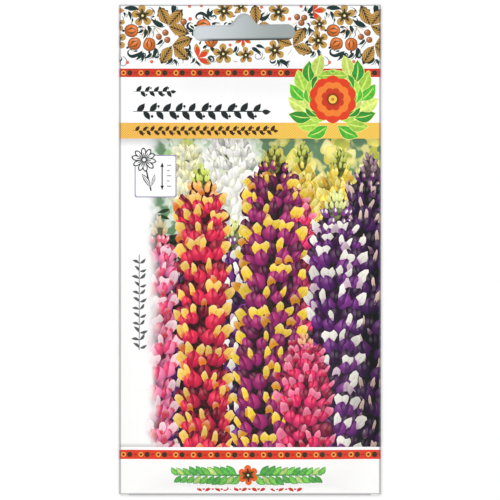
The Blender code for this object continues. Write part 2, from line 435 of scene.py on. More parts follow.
# %% Room for air and seeds
AIR = 0.9 * MM
AIR_LOW = (0.0, 30.0 * MM)
AIR_BELOW_HEADER = 24.0 * MM
SEED_ROOM = 3.42 * MM
SEEDS_LOW = (0.5 * MM, 8.0 * MM)
SEEDS_HIGH = (24.0 * MM, 58.0 * MM)
SEEDS_ASIDE = (17.0 * MM, 37.0 * MM)


def room(across, up):
    """How far the front is pushed away from the back by air and by the seeds."""
    seal = HEIGHT - HEADER
    lens_shape = np.maximum(0, 1 - (across / FLAT_HALF) ** 2)
    air = AIR * lens_shape * ease(up, *AIR_LOW) * (1 - ease(up, seal - AIR_BELOW_HEADER, seal))
    beside = 1 - ease(abs(across), *SEEDS_ASIDE)
    along = ease(up, *SEEDS_LOW) * (1 - ease(up, *SEEDS_HIGH))
    return air + (SEED_ROOM - air) * beside * along + creases(across, up)


def front_depth(across, up):
    """How far the front's middle layer stands in front of the hindmost one."""
    free = PITCH * (1 + lap_step(across) + tongue_step(across, up)) + room(across, up)
    side = ramp(abs(across), FLAT_HALF - SIDE_EASE, FLAT_HALF)
    lower = 1 - ramp(up, FOLD_LINE - BOTTOM, FOLD_LINE - BOTTOM + SIDE_EASE)
    return free + (2 * FOLD_RADIUS - free) * np.maximum(side, lower)


most_room = room(np.zeros(1), np.array([SEEDS_HIGH[0]]))[0]
print(f"most room between front and back: {most_room / MM:.2f} mm")


# %% The fold
def folded(u, v):
    """Where points of the flat sheet's middle layer go, as an array with a row for each point."""
    side = np.where(u < 0, -1.0, 1.0)
    out = abs(u)
    up = v - BOTTOM
    across = u.copy()
    depth = front_depth(u, up)
    height = v.copy()

    turn = (out - FLAT_HALF) / FOLD_RADIUS
    turning = (out > FLAT_HALF) & (out < FLAT_HALF + ARC)
    across = np.where(turning, side * (FLAT_HALF + FOLD_RADIUS * np.sin(turn)), across)
    depth = np.where(turning, FOLD_RADIUS * (1 + np.cos(turn)), depth)

    back = out >= FLAT_HALF + ARC
    across = np.where(back, side * (2 * FLAT_HALF + ARC - out), across)
    under = lap_step(across) * (across < LAP_EDGE + EDGE_PLAY) * (side < 0)
    depth = np.where(back, PITCH * (under + tongue_step(across, up)), depth)

    curl = np.clip((FOLD_LINE - v) / FOLD_RADIUS, 0, math.pi)
    tongue = (v < FOLD_LINE) & (out < FLAT_HALF)
    depth = np.where(tongue, FOLD_RADIUS * (1 + np.cos(curl)), depth)
    past = np.maximum(0, FOLD_LINE - ARC - v)
    height = np.where(tongue, FOLD_LINE - FOLD_RADIUS * np.sin(curl) + past, height)
    return np.stack([MIDDLE + across, high.y - PAPER / 2 - depth, height], axis=1)


def facing(u, v):
    """The unit normals of the printed side at those points."""
    reach = 0.02 * MM
    over = folded(u + reach, v) - folded(u - reach, v)
    upward = folded(u, v + reach) - folded(u, v - reach)
    normal = np.cross(over, upward)
    return normal / np.linalg.norm(normal, axis=1)[:, None]


tongue_end = folded(np.zeros(1), np.array([TONGUE_END]))[0]
print(f"the tongue ends {(tongue_end[2] - BOTTOM) / MM:.1f} mm above the foot")

# %% [markdown]
# ## The die-cut sheet
#
# All flat work is done in millimetres on the plate: x from the packet's left fold, y down from its top
# edge and so negative. The front is 80 wide. The back panels lie on both sides of it and the tongue below.
# The hang slot goes through three layers, so the flat sheet has three slots, and the outer two are mirror
# images, because the folds turn them over.

# %% The hang slot
SLOT_LENGTH = 31.2
SLOT_BAR = 4.8
SLOT_HUMP = 3.5
HUMP_FOOT = 9.6
HUMP_RADIUS = 2.8
HUMP_FLANK = math.radians(38)
HUMP_FILLET = 1.2
SLOT_TILT = math.radians(0.9)
ROUND_STEPS = 16
HALF_WIDTH = WIDTH / MM / 2
SLOT_X = HALF_WIDTH - MIDDLE / MM
SLOT_Y = -TOP / MM


def plate_x(u):
    """Millimetres from the left fold, for a place u across from the front's middle."""
    return u / MM + HALF_WIDTH


def plate_y(v):
    """Millimetres up from the top edge, and so below zero, for a height v."""
    return (v - TOP) / MM


def arc_points(centre, radius, start, end, steps):
    """Points on an arc, both ends included, with angles in radians."""
    angles = [start + (end - start) * step / steps for step in range(steps + 1)]
    return [(centre[0] + radius * math.cos(a), centre[1] + radius * math.sin(a)) for a in angles]


def slot_outline():
    """The hang slot, anticlockwise, with the top of its hump at (0, 0) before it is put in its place."""
    radius = SLOT_BAR / 2
    reach = SLOT_LENGTH / 2 - radius
    bar = -SLOT_HUMP - radius
    quarter = math.pi / 2
    normal = Vector((math.cos(HUMP_FLANK), math.sin(HUMP_FLANK)))
    join = Vector((0, -HUMP_RADIUS)) + HUMP_RADIUS * normal
    flank = Vector((-normal.y, normal.x))
    corner = join + flank * ((-SLOT_HUMP - join.y) / flank.y)
    foot = Vector((HUMP_FOOT / 2, -SLOT_HUMP))
    fillet_end = corner + flank * HUMP_FILLET
    fillet = [tuple(foot * (1 - t) ** 2 + corner * 2 * t * (1 - t) + fillet_end * t * t)
              for t in (0, 0.2, 0.4, 0.6, 0.8, 1)]
    right = arc_points((reach, bar), radius, -quarter, quarter, ROUND_STEPS) + fillet
    top = arc_points((0, -HUMP_RADIUS), HUMP_RADIUS, HUMP_FLANK, quarter, ROUND_STEPS // 2)
    half = right + top
    whole = half + [(-x, y) for x, y in reversed(half[:-1])]
    turned = []
    for x, y in whole:
        turned.append((SLOT_X + x * math.cos(SLOT_TILT) - y * math.sin(SLOT_TILT),
                       SLOT_Y + x * math.sin(SLOT_TILT) + y * math.cos(SLOT_TILT)))
    return turned


slot = slot_outline()
TURN_OVER = 2 * FLAT_HALF + ARC
turned_over = [[(HALF_WIDTH + side * TURN_OVER / MM - (x - HALF_WIDTH), y) for x, y in reversed(slot)]
               for side in (1, -1)]
slots = [slot] + turned_over
print(f"{len(slots)} slots with {len(slot)} points round each")


# %% The sheet's outline
def sheet_outline():
    """The flat sheet's corners, anticlockwise from the tongue's right one."""
    half = [
        (TONGUE_HALF - TONGUE_CHAMFER, TONGUE_END),
        (TONGUE_HALF, TONGUE_END + TONGUE_CHAMFER),
        (TONGUE_HALF, FOLD_LINE),
        (BACK_EDGE, FOLD_LINE),
        (BACK_EDGE, TOP),
    ]
    return [(plate_x(u), plate_y(v)) for u, v in half + [(-u, v) for u, v in reversed(half)]]


print(f"flat sheet {2 * BACK_EDGE / MM:.1f} x {(TOP - TONGUE_END) / MM:.1f} mm")

# %% [markdown]
# ## Patches of ink
#
# A motif is a small flat mesh of patches, each a plain outline with one ink. A patch also carries a code
# for how its ink is shaded, and the local place of each corner, from -1 to 1 across it and along it. The
# shader reads those two to draw a petal's highlight, fold or veins inside the patch, which keeps
# the outlines simple.

# %% Outlines
(PLAIN, WING, BANNER, BUD, GROUND, FAR_PETAL, LEAFLET, HATCH,
 FOLK_PETAL, FOLK_LEAF, BERRY) = range(11)


def rounded(points, between=2):
    """A smooth closed outline through the points: a Catmull-Rom curve."""
    points = np.array(points, float)
    made = []
    for i in range(len(points)):
        a, b, c, d = (points[(i + k) % len(points)] for k in (-1, 0, 1, 2))
        for step in range(between):
            t = step / between
            made.append(0.5 * (2 * b + (c - a) * t + (2 * a - 5 * b + 4 * c - d) * t ** 2
                               + (3 * b - a - 3 * c + d) * t ** 3))
    return np.array(made)


def placed(outline, x=0.0, y=0.0, turn=0.0, size=1.0, mirror=False):
    """An outline turned (degrees), sized and moved."""
    angle = math.radians(turn)
    points = np.array(outline, float) * size
    if mirror:
        points[:, 0] *= -1
    c, s = math.cos(angle), math.sin(angle)
    return points @ np.array([[c, s], [-s, c]]) + (x, y)


def area(outline):
    """The outline's area, which is negative if it runs clockwise."""
    x, y = outline[:, 0], outline[:, 1]
    return np.sum(x * np.roll(y, -1) - np.roll(x, -1) * y) / 2


def anticlockwise(outline):
    """The outline, turned round if it runs clockwise."""
    return outline if area(outline) > 0 else outline[::-1]


def local_places(outline, turn=0.0):
    """Each corner's place in the patch, from -1 to 1 across and along it, with the patch's own up turned."""
    upright = placed(outline, turn=-turn)
    lowest, highest = upright.min(0), upright.max(0)
    return 2 * (upright - lowest) / np.maximum(highest - lowest, 1e-6) - 1


unit_square = np.array([(0, 0), (1, 0), (1, 1), (0, 1)])
print(f"a square and the round outline through its corners: {area(unit_square):.2f} and "
      f"{area(rounded(unit_square, 8)):.2f} mm2")


# %% Motifs
def give(mesh, name, kind, domain, values):
    """Gives the mesh an attribute of that kind, with a value for each point or each face corner."""
    field = {"FLOAT_COLOR": "color", "FLOAT_VECTOR": "vector"}.get(kind, "value")
    mesh.attributes.new(name, kind, domain).data.foreach_set(field, np.ravel(values))


def motif_object(name, patches, collection):
    """A flat mesh of patches. Each patch is (outline, ink, code) and may have its own up, in degrees."""
    corners, faces, inks, petals = [], [], [], []
    for outline, ink, code, *turn in patches:
        outline = anticlockwise(np.array(outline))
        faces.append(range(len(corners), len(corners) + len(outline)))
        corners += [(x, y, 0) for x, y in outline]
        inks += [(*linear(*ink), 1)] * len(outline)
        petals += [(p, q, code) for p, q in local_places(outline, *turn)]
    mesh = bpy.data.meshes.new(name)
    mesh.from_pydata(corners, [], faces)
    give(mesh, "ink", "FLOAT_COLOR", "POINT", inks)
    give(mesh, "petal", "FLOAT_VECTOR", "POINT", petals)
    collection.objects.link(bpy.data.objects.new(name, mesh))


print(BERRY + 1, "kinds of shading")

# %% [markdown]
# ## The stamp
#
# One Geometry Nodes tree prints every motif that repeats: flowers up a spike, leaves round a wreath, rings
# along a band. It takes points that say which motif stands there, how it is turned and how large it is,
# puts the motifs on them, varies their size and turn a little, and gives each one a chance number, which
# the shader uses to make no two petals quite the same colour.

# %% The stamp's tree
print_white, print_tree, print_shader = new_material("printed paper")


def stamp_tree():
    """The tree that stands motifs on points, with sockets for the motifs, their play and their seed."""
    tree = bpy.data.node_groups.new("stamp", "GeometryNodeTree")
    interface = tree.interface
    interface.new_socket("Geometry", in_out="INPUT", socket_type="NodeSocketGeometry")
    for name, kind in (("Motifs", "Collection"), ("Size play", "Float"), ("Turn play", "Float"),
                       ("Seed", "Int"), ("Ink", "Material")):
        interface.new_socket(name, in_out="INPUT", socket_type="NodeSocket" + kind)
    interface.new_socket("Geometry", in_out="OUTPUT", socket_type="NodeSocketGeometry")
    entry = tree.nodes.new("NodeGroupInput")
    given = {socket.name: Wire(socket) for socket in entry.outputs}
    node = partial(Wire.node, tree)

    def point_value(name, kind):
        return node("GeometryNodeInputNamedAttribute", {"data_type": kind}, {"Name": name}, "Attribute")

    def chance(low_end, high_end, offset):
        return node("FunctionNodeRandomValue", {"data_type": "FLOAT"},
                    {"Min_001": low_end, "Max_001": high_end, "Seed": given["Seed"] + offset}, "Value_001")

    motifs = node("GeometryNodeCollectionInfo", {"transform_space": "RELATIVE"},
                  {"Collection": given["Motifs"], "Separate Children": True, "Reset Children": True},
                  "Instances")
    swing = chance(-1, 1, 11) * given["Turn play"]
    turn = node("ShaderNodeCombineXYZ", None, {"Z": point_value("turn", "FLOAT") + swing})
    grown = 1 + chance(-1, 1, 23) * given["Size play"]
    size = point_value("size", "FLOAT_VECTOR").scaled(grown)
    stamped = node("GeometryNodeInstanceOnPoints", None,
                   {"Points": given["Geometry"], "Instance": motifs, "Pick Instance": True,
                    "Instance Index": point_value("pick", "INT"), "Rotation": turn, "Scale": size},
                   "Instances")
    marked = node("GeometryNodeStoreNamedAttribute", {"data_type": "FLOAT", "domain": "INSTANCE"},
                  {"Geometry": stamped, "Name": "chance", "Value": chance(0, 1, 37)}, "Geometry")
    real = node("GeometryNodeRealizeInstances", None, {"Geometry": marked}, "Geometry")
    inked = node("GeometryNodeSetMaterial", None, {"Geometry": real, "Material": given["Ink"]}, "Geometry")
    inked.into(tree.nodes.new("NodeGroupOutput"), "Geometry")
    return tree


stamp = stamp_tree()
print(len(stamp.nodes), "nodes in the stamp")

# %% [markdown]
# The plate is a list of patches in the order of printing. A patch that stands alone is pressed on it
# straight away. Stamped ones are read back from the stamp's result, where slow waves push their outlines
# about a little, as a hand would.

# %% The plate
FULL_WAVER = 2.6    # outlines smaller than this, in mm, are pushed less
# Each wave pushes across (0) or up (1), with a strength, a run across, a run up and a start
WAVES = [(0, 1, 1.1, 1.7, 0), (0, 1, -0.9, 2.1, 2), (0, 0.3, 3.3, 2.6, 1),
         (1, 1, 1.5, -1.2, 4), (1, 1, 1.9, 0.8, 5), (1, 0.3, -3.1, 2.9, 3)]
plate = []


def press(outline, ink, code=PLAIN, turn=0.0, chance=0.5):
    """Prints one patch straight on the plate, on top of what is there."""
    outline = anticlockwise(np.array(outline, float))
    plate.append((outline, linear(*ink), local_places(outline, turn), code, chance))


def wavered(outline, reach):
    """The outline pushed about by slow waves, so that no two prints of a motif are quite alike."""
    push = np.zeros_like(outline)
    for way, strength, run_across, run_up, start in WAVES:
        push[:, way] += strength * np.sin(run_across * outline[:, 0] + run_up * outline[:, 1] + start)
    return outline + push * reach / 2 * min(1, (min(np.ptp(outline, 0)) / FULL_WAVER) ** 1.5)


def read_patches(mesh, waver):
    """Adds a stamped mesh's faces to the plate, in their order."""
    count = len(mesh.vertices)
    values = {}
    for name, field, width in (("ink", "color", 4), ("petal", "vector", 3), ("chance", "value", 1)):
        values[name] = np.zeros(count * width, np.float32)
        mesh.attributes[name].data.foreach_get(field, values[name])
        values[name] = values[name].reshape(count, width)
    places = np.zeros(count * 3, np.float32)
    mesh.vertices.foreach_get("co", places)
    places = places.reshape(count, 3)[:, :2].astype(float)
    for polygon in mesh.polygons:
        corners = list(polygon.vertices)
        outline, petal = places[corners], values["petal"][corners]
        if area(outline) < 0:
            outline, petal = outline[::-1], petal[::-1]
        ink, chance = tuple(values["ink"][corners[0]][:3]), float(values["chance"][corners[0], 0])
        plate.append((wavered(outline, waver), ink, petal[:, :2], round(float(petal[0, 2])), chance))


moved = abs(wavered(10.0 * unit_square, 0.3) - 10.0 * unit_square).max()
print(f"waves of 0.3 mm move a large outline by {moved:.2f} mm at most")


# %% Stamping
def stamp_motifs(name, motifs, points, size_play=0.0, turn_play=0.0, seed=1, waver=0.0):
    """Prints motifs on the plate. A point is (x, y, pick, turn in degrees, width, height)."""
    collection = bpy.data.collections.new(name)
    for number, patches in enumerate(motifs):
        motif_object(f"{name}_{number:02d}", patches, collection)
    across, up, picks, turns, widths, heights = zip(*points)
    mesh = bpy.data.meshes.new(name)
    mesh.from_pydata([(x, y, 0) for x, y in zip(across, up)], [], [])
    give(mesh, "pick", "INT", "POINT", picks)
    give(mesh, "turn", "FLOAT", "POINT", np.radians(turns))
    give(mesh, "size", "FLOAT_VECTOR", "POINT", [(w, h, 1) for w, h in zip(widths, heights)])
    holder = bpy.data.objects.new(name, mesh)
    bpy.context.scene.collection.objects.link(holder)
    modifier = holder.modifiers.new("stamp", "NODES")
    modifier.node_group = stamp
    values = {"Motifs": collection, "Size play": size_play, "Turn play": math.radians(turn_play),
              "Seed": seed, "Ink": print_white}
    for socket in stamp.interface.items_tree:
        if socket.name in values:
            modifier[socket.identifier] = values[socket.name]
    graph = bpy.context.evaluated_depsgraph_get()
    printed = bpy.data.meshes.new_from_object(holder.evaluated_get(graph))
    read_patches(printed, waver)
    bpy.data.meshes.remove(printed)
    bpy.data.objects.remove(holder)
    for part in list(collection.objects):
        bpy.data.objects.remove(part)
    bpy.data.collections.remove(collection)


print("stamp sockets:", ", ".join(socket.name for socket in stamp.interface.items_tree))

# %% [markdown]
# ## The fields of the print
#
# The front has plain fields from the top down: an ornament on white, a narrow red band, a white title
# panel, an orange band, the picture, a second red band and a white foot. Ornament and red bands run on
# round the sheet. Every other field stops a little behind the side folds, as a printer's bleed does.

# %% The fields
ORNAMENT_FOOT, PANEL_TOP, BAND_TOP, PICTURE_TOP = 19.5, 22.1, 36.05, 40.9
PICTURE_FOOT, RED_TOP, FOOT_TOP = 135.2, 136.1, 138.9
BLEED = 2.2
ABOVE, BELOW = -1, FOOT_TOP + 40    # past the sheet's top edge, and past its tongue
SHEET_X = (plate_x(-BACK_EDGE) - 1, plate_x(BACK_EDGE) + 1)
PICTURE_X = (-BLEED, 2 * HALF_WIDTH + BLEED)
WHITE = (255, 255, 255)


def block(x0, x1, foot, top, ink, code=PLAIN):
    """Prints a plain rectangle."""
    press([(x0, foot), (x1, foot), (x1, top), (x0, top)], ink, code)


def field(top, foot, ink, code=PLAIN, across=PICTURE_X):
    """Prints a field from top to foot, in millimetres down from the packet's top edge."""
    block(*across, -foot, -top, ink, code)


print(f"the picture is {2 * HALF_WIDTH:.0f} x {PICTURE_FOOT - PICTURE_TOP:.1f} mm")

# %% [markdown]
# ## Flower spikes
#
# A flower of a spike is a round pair of closed wings with a banner standing up behind it. Flowers stand in
# rings round the stem. Seen from the side a ring is a row: its middle flowers face the eye, and its outer
# ones turn away, so they look narrower, lean out and are printed first. Towards the tip the rings come
# closer together and the flowers turn into buds.

# %% The outlines of a flower
WING_SHAPE = [(0, 2.1), (1.25, 1.05), (1.75, -0.3), (0.9, -1.7), (-0.9, -1.7), (-1.75, -0.3),
              (-1.25, 1.05)]
HALF_WING = [(-0.1, 2.05), (1.3, 1.0), (1.78, -0.3), (0.9, -1.7), (0.05, -0.4)]
LOBE = [(0, -0.4), (1.0, 1.0), (0.95, 2.6), (0.1, 3.5), (-0.9, 2.3), (-0.8, 0.6)]
FAN = [(0, -0.5), (1.2, 0.7), (1.95, 2.2), (1.35, 3.3), (0.1, 2.75), (-1.1, 3.45), (-1.9, 2.3), (-1.3, 0.7)]
TEAR = [(0, 1.5), (0.75, 0.2), (0.45, -1.1), (-0.45, -1.1), (-0.75, 0.2)]
wing_high = np.ptp(rounded(WING_SHAPE)[:, 1])
print(f"a pair of wings is {wing_high:.1f} mm high")


# %% The inks of a spike
def palette(*values):
    """Inks for the two wings, the banner and its base, buds, tip and gaps, then how dark the flowers
    further in are and how wide a banner is."""
    return dict(zip(("wing", "other", "banner", "base", "bud", "young", "core", "dim", "slim"), values))


PLUM = palette((170, 44, 112), (136, 26, 90), (250, 214, 62), (232, 156, 30),
               (140, 36, 100), (196, 196, 84), (42, 24, 28), 0.66, 1.08)
LILAC = palette((122, 46, 130), (88, 26, 102), (252, 248, 238), (226, 196, 214),
                (128, 60, 140), (226, 232, 150), (40, 26, 42), 0.55, 0.95)
CRIMSON = palette((226, 40, 78), (194, 24, 64), (252, 206, 92), (240, 128, 44),
                  (248, 168, 88), (204, 218, 96), (64, 18, 24), 0.7, 0.95)
INDIGO = palette((78, 26, 92), (50, 16, 64), (220, 188, 176), (112, 70, 96),
                 (90, 34, 98), (150, 120, 130), (16, 18, 20), 0.5, 0.5)
BLUSH = palette((242, 128, 168), (222, 62, 108), (250, 206, 218), (224, 64, 92),
                (232, 96, 124), (206, 190, 140), (88, 34, 48), 0.82, 0.9)
ROSE = palette((232, 54, 110), (208, 30, 84), (246, 118, 156), (206, 34, 76),
               (236, 70, 110), (244, 176, 130), (74, 22, 34), 0.66, 0.95)
LEMON = palette((252, 230, 96), (242, 200, 56), (252, 238, 130), (240, 186, 52),
                (240, 210, 80), (196, 206, 90), (212, 184, 60), 0.82, 1.0)
IVORY = palette((252, 250, 244), (236, 236, 222), (253, 252, 248), (230, 234, 204),
                (230, 234, 186), (192, 212, 124), (214, 222, 196), 0.9, 1.0)
CREAMY = dict(IVORY, wing=(250, 246, 204), other=(238, 234, 172), banner=(252, 249, 218),
              young=(204, 216, 110))
print("inks of a spike:", ", ".join(PLUM))


# %% The ways that a flower can show
def shaded(ink, share):
    """The ink, darker where share is below 1."""
    return tuple(share * part for part in ink)


def lobe(ink, x, turn, size=1.0, wide=1.0):
    """One half of a banner, with its darker base."""
    shape = rounded(LOBE) * (wide * ink["slim"], 1)
    return [(placed(shape, x, 0.6, turn, size), ink["banner"], BANNER, turn),
            (placed(shape[::2] * (0.72, 0.42), x, 0.5, turn, size), ink["base"], BANNER, turn)]


def wings(ink, x=0.0, y=0.0, turn=0.0, size=1.0, mirror=False):
    """The round pair of wings, one of which lies over the other."""
    return [(placed(rounded(WING_SHAPE), x, y, turn, size), ink["wing"], WING, turn),
            (placed(rounded(HALF_WING), x, y, turn, size, mirror), ink["other"], WING, turn)]


BUDDING, YOUNG, DEEP, DEEP_BANNER = 6, 7, 8, 9
TURNED, LEANING = (4, 5), (2, 3)


def flowers(ink):
    """From the front, half turned, turned away, in bud and deep in the spike. A spike picks by number."""
    fan = [(placed(rounded(FAN) * (ink["slim"], 1), 0, 0.5), ink["banner"], BANNER, 0),
           (placed(rounded(FAN, 1) * (0.62 * ink["slim"], 0.5), 0, 0.5), ink["base"], BANNER, 0)]
    bud = [(placed(rounded(TEAR), size=1.25), ink["bud"], BUD, 0),
           (placed(rounded(TEAR, 1) * (0.5, 0.6), 0.35, 0.5), ink["banner"], BUD, 0)]
    young = [(placed(rounded(TEAR)), ink["young"], BUD, 0)]
    dim = ink["dim"]
    deep = {"wing": shaded(ink["wing"], dim), "other": shaded(ink["other"], dim - 0.08),
            "banner": shaded(ink["base"], 0.95), "base": shaded(ink["base"], 0.7), "slim": ink["slim"]}
    return [
        fan + wings(ink),
        lobe(ink, -0.95, 16) + lobe(ink, 1.0, -14, 0.95) + wings(ink, mirror=True),
        lobe(ink, 1.35, -8, 0.95, 0.8) + wings(ink, turn=-6),
        lobe(ink, -1.3, 9, 1.0, 0.75) + wings(ink, turn=7, mirror=True),
        lobe(ink, -0.2, 12, 1.1, 1.25) + wings(ink, 0.5, 0, -14, 0.98),
        lobe(ink, 0.2, -12, 1.1, 1.25) + wings(ink, -0.5, 0, 14, 0.98, True),
        bud,
        young,
        wings(deep),
        lobe(deep, 0, 20) + wings(deep, mirror=True),
    ]


print(len(flowers(PLUM)), "kinds of flower")

# %% [markdown]
# A spike is built from its tip down, ring by ring. Its core is printed first, in the ink of the gaps. Each
# ring then adds a few darker flowers that stand further in, and after them its own, the outer ones first.

# %% A spike
# The core and the green tip: half the width as a share of the whole, and how far below the tip, in mm
CORE = [(0.02, 0.0), (0.4, 5.0), (0.7, 14.0), (0.8, 30.0)]
GREEN_TIP = [(0, 0), (0.32, 4.5), (0, 9.5), (-0.32, 4.5)]
RING_PITCH = 5.5
FULL_WIDTH_AT, FULL_SIZE_AT = 16, 24
RING_HALF_TURN, INNER_HALF_TURN = math.radians(74), math.radians(78)


def inner_flowers(rng, middle, half, number, size):
    """The darker flowers that show between the ones of a ring."""
    for k in range(number):
        away = math.sin(INNER_HALF_TURN * (2 * k / (number - 1) - 1))
        x = middle[0] + half * away * 0.86 + rng.uniform(-0.4, 0.4)
        y = middle[1] + 2.0 * size + rng.uniform(-0.8, 0.8)
        pick = DEEP_BANNER if rng.random() < 0.3 else DEEP
        yield x, y, pick, rng.uniform(-30, 30) - 20 * away, size * 0.95, size * 0.95


def ring_flowers(rng, middle, half, number, size, grown, young, lean):
    """The flowers of a ring, outer ones first. Young goes from 1 at the tip to 0 where buds end."""
    for k in sorted(range(number), key=lambda k: -abs(k - (number - 1) / 2)):
        angle = RING_HALF_TURN * (2 * (k + 0.5) / number - 1) + rng.uniform(-0.16, 0.16)
        away = math.sin(angle)
        x = middle[0] + half * away * 0.92 + rng.uniform(-0.6, 0.6)
        y = middle[1] - 0.7 * away ** 2 * size + rng.uniform(-1.1, 1.1) * grown
        if young > 0:
            pick = YOUNG if young > 0.5 else BUDDING
        elif abs(away) > 0.6:
            pick = TURNED[away > 0] if rng.random() < 0.75 else LEANING[away < 0]
        else:
            pick = int(rng.integers(0, 4))
        narrow = 0.74 + 0.26 * math.cos(angle)
        turn = lean - (26 + 10 * young) * away + rng.uniform(-12, 12)
        yield x, y, pick, turn, size * narrow, size * (1.0 + 0.2 * young)


def spike(name, ink, tip, foot, width, seed, scale=1.16, buds=11.0, across=(4, 5), far=False):
    """A spike from its tip to its foot, both (x, y). Its foot may be out of sight. Buds end that far below
    its tip, and its rings show the numbers of flowers in across by turns."""
    rng = np.random.default_rng(seed)
    tip, foot = np.array(tip, float), np.array(foot, float)
    length = np.linalg.norm(foot - tip)
    down = (foot - tip) / length
    lean = math.degrees(math.atan2(down[0], -down[1]))

    def beside(side, share, below):
        return tip + down * below + np.array([side * share * width / 2, 0])

    core = CORE + [(CORE[-1][0], length)]
    sides = [beside(1, *place) for place in core] + [beside(-1, *place) for place in core[::-1]]
    press(rounded(sides, 1), ink["core"], FAR_PETAL if far else GROUND)
    press(rounded([beside(1, *place) for place in GREEN_TIP]), shaded(ink["young"], 0.5), GROUND)
    points = []
    at, row = 0.2, 0
    while at < length:
        grown = min(1.0, at / FULL_SIZE_AT)
        half = width / 2 * (0.12 + 0.88 * min(1.0, at / FULL_WIDTH_AT) ** 0.75)
        size = scale * (0.62 + 0.38 * grown)
        number = 2 if at < 1.5 else 5 if at < buds else across[row % 2]
        middle = tip + down * at
        if at > buds:
            points += inner_flowers(rng, middle, half, number + 1, size)
        points += ring_flowers(rng, middle, half, number, size, grown, max(0.0, 1 - at / buds), lean)
        at += scale * RING_PITCH * (0.26 + 0.74 * grown)
        row += 1
    stamp_motifs(name, flowers(ink), points, 0.16, 8.0, seed, waver=0.34)


full_turn = math.degrees(2 * RING_HALF_TURN)
print(f"the flowers of a ring are spread over {full_turn:.0f} degrees of it")

# %% [markdown]
# ## The picture
#
# The picture is a bed of tall spikes: pale and blurred ones far off, a row of bright ones in front of
# them, and leaves in the dark gaps. It is printed from back to front.

# %% Leaves and far blossoms
LEAF_GREENS = [(58, 92, 44), (38, 66, 36), (84, 122, 58), (30, 50, 32)]
FAR_WHITES = [(254, 254, 250), (252, 252, 246), (226, 236, 208), (168, 204, 140), (100, 138, 96)]
FAR_YELLOWS = [(253, 240, 120), (240, 206, 90), (178, 190, 76), (252, 246, 176)]
UNDERGROWTH, HAZE = (36, 52, 36), (104, 140, 104)
# A blurred blossom's nested patches: their size, and the share of its own ink over the ink around it
BLURRED = ((1.0, 0.35), (0.78, 0.7), (0.55, 1.0))
BLURRED_TURN = 37    # degrees for each millimetre across, so that no two stand alike


def far_blossom(x, y, size, ink, around):
    """A blurred blossom: nested patches that step from the ink around it to its own."""
    for step, share in BLURRED:
        shade = tuple(a + (b - a) * share for a, b in zip(around, ink))
        press(placed(rounded(FAN), x, y, (x * BLURRED_TURN) % 360, size * step), shade, FAR_PETAL)


def blade(length, width, widest=0.5, sides=5, bend=0.0):
    """A pointed leaf or petal outline from (0, 0) up to (0, length), widest at that share of its length."""
    power = math.log(0.5) / math.log(widest)
    right = []
    for step in range(1, sides + 1):
        t = step / (sides + 1)
        right.append((width / 2 * math.sin(math.pi * t ** power) + bend * math.sin(math.pi * t), length * t))
    left = [(2 * bend * math.sin(math.pi * y / length) - x, y) for x, y in reversed(right)]
    return np.array([(0, 0)] + right + [(0, length)] + left)


def leaves(number, seed, box, size):
    """Lupin leaves, fans of long leaflets, all over a box of left, right, top and foot."""
    rng = np.random.default_rng(seed)
    motifs = [[(placed(blade(6.4, 1.5, 0.6), turn=turn), green, LEAFLET, turn)
               for turn in (-100, 100, -62, 62, -28, 28, 0)] for green in LEAF_GREENS]
    points = []
    for _ in range(number):
        x, y = rng.uniform(box[0], box[1]), -rng.uniform(box[2], box[3])
        s = size * rng.uniform(0.75, 1.2)
        points.append((x, y, int(rng.integers(0, 4)), rng.uniform(-180, 180), s, s))
    stamp_motifs(f"leaves_{seed}", motifs, points, 0.1, 20, seed)


print(len(LEAF_GREENS), "greens,", len(FAR_WHITES) + len(FAR_YELLOWS), "inks for far blossoms")

# %% The ground and what is far off
field(PICTURE_TOP - 0.5, PICTURE_FOOT + 0.5, UNDERGROWTH, GROUND)
haze_edge = [(-BLEED, -PICTURE_TOP), (-BLEED, -74), (18, -70), (33, -66), (47, -58), (62, -70), (84, -62),
             (2 * HALF_WIDTH + BLEED, -PICTURE_TOP)]
press(haze_edge, HAZE, FAR_PETAL)
# Far blossoms: how many, where across and down, how large, their inks and the ink around them
FAR_BLOSSOMS = [(70, (15, 40), (40, 66), (1.1, 2.4), FAR_WHITES, (150, 182, 142)),
                (60, (48, 83), (40, 64), (0.8, 1.6), FAR_YELLOWS, (216, 204, 96))]
rng = np.random.default_rng(5)
for number, across, down, sizes, inks, around in FAR_BLOSSOMS:
    for _ in range(number):
        x, y = rng.uniform(*across), -rng.uniform(*down)
        ink = inks[int(rng.integers(0, len(inks)))]
        far_blossom(x, y, rng.uniform(*sizes), ink, around)
leaves(26, 31, (8, 82, 60, 136), 1.0)
spike("cream_far", CREAMY, (20.5, -40), (21, -64), 11, 53, scale=1.1, across=(3, 3), buds=4.0, far=True)
spike("ivory_far", IVORY, (33.5, -38), (33, -82), 18, 43, scale=1.2, across=(4, 4), buds=4.0, far=True)
spike("lemon_far_left", LEMON, (56.0, -42), (56, -84), 12, 41, scale=0.95, across=(4, 4), far=True)
spike("lemon_far_right", LEMON, (67.5, -44), (67, -80), 13, 42, scale=0.95, across=(4, 4), far=True)
spike("crimson_far", ROSE, (54.4, -56), (54.0, -118), 11, 44, scale=1.0, across=(3, 4), buds=4.0)
print(f"{len(plate)} patches far off")

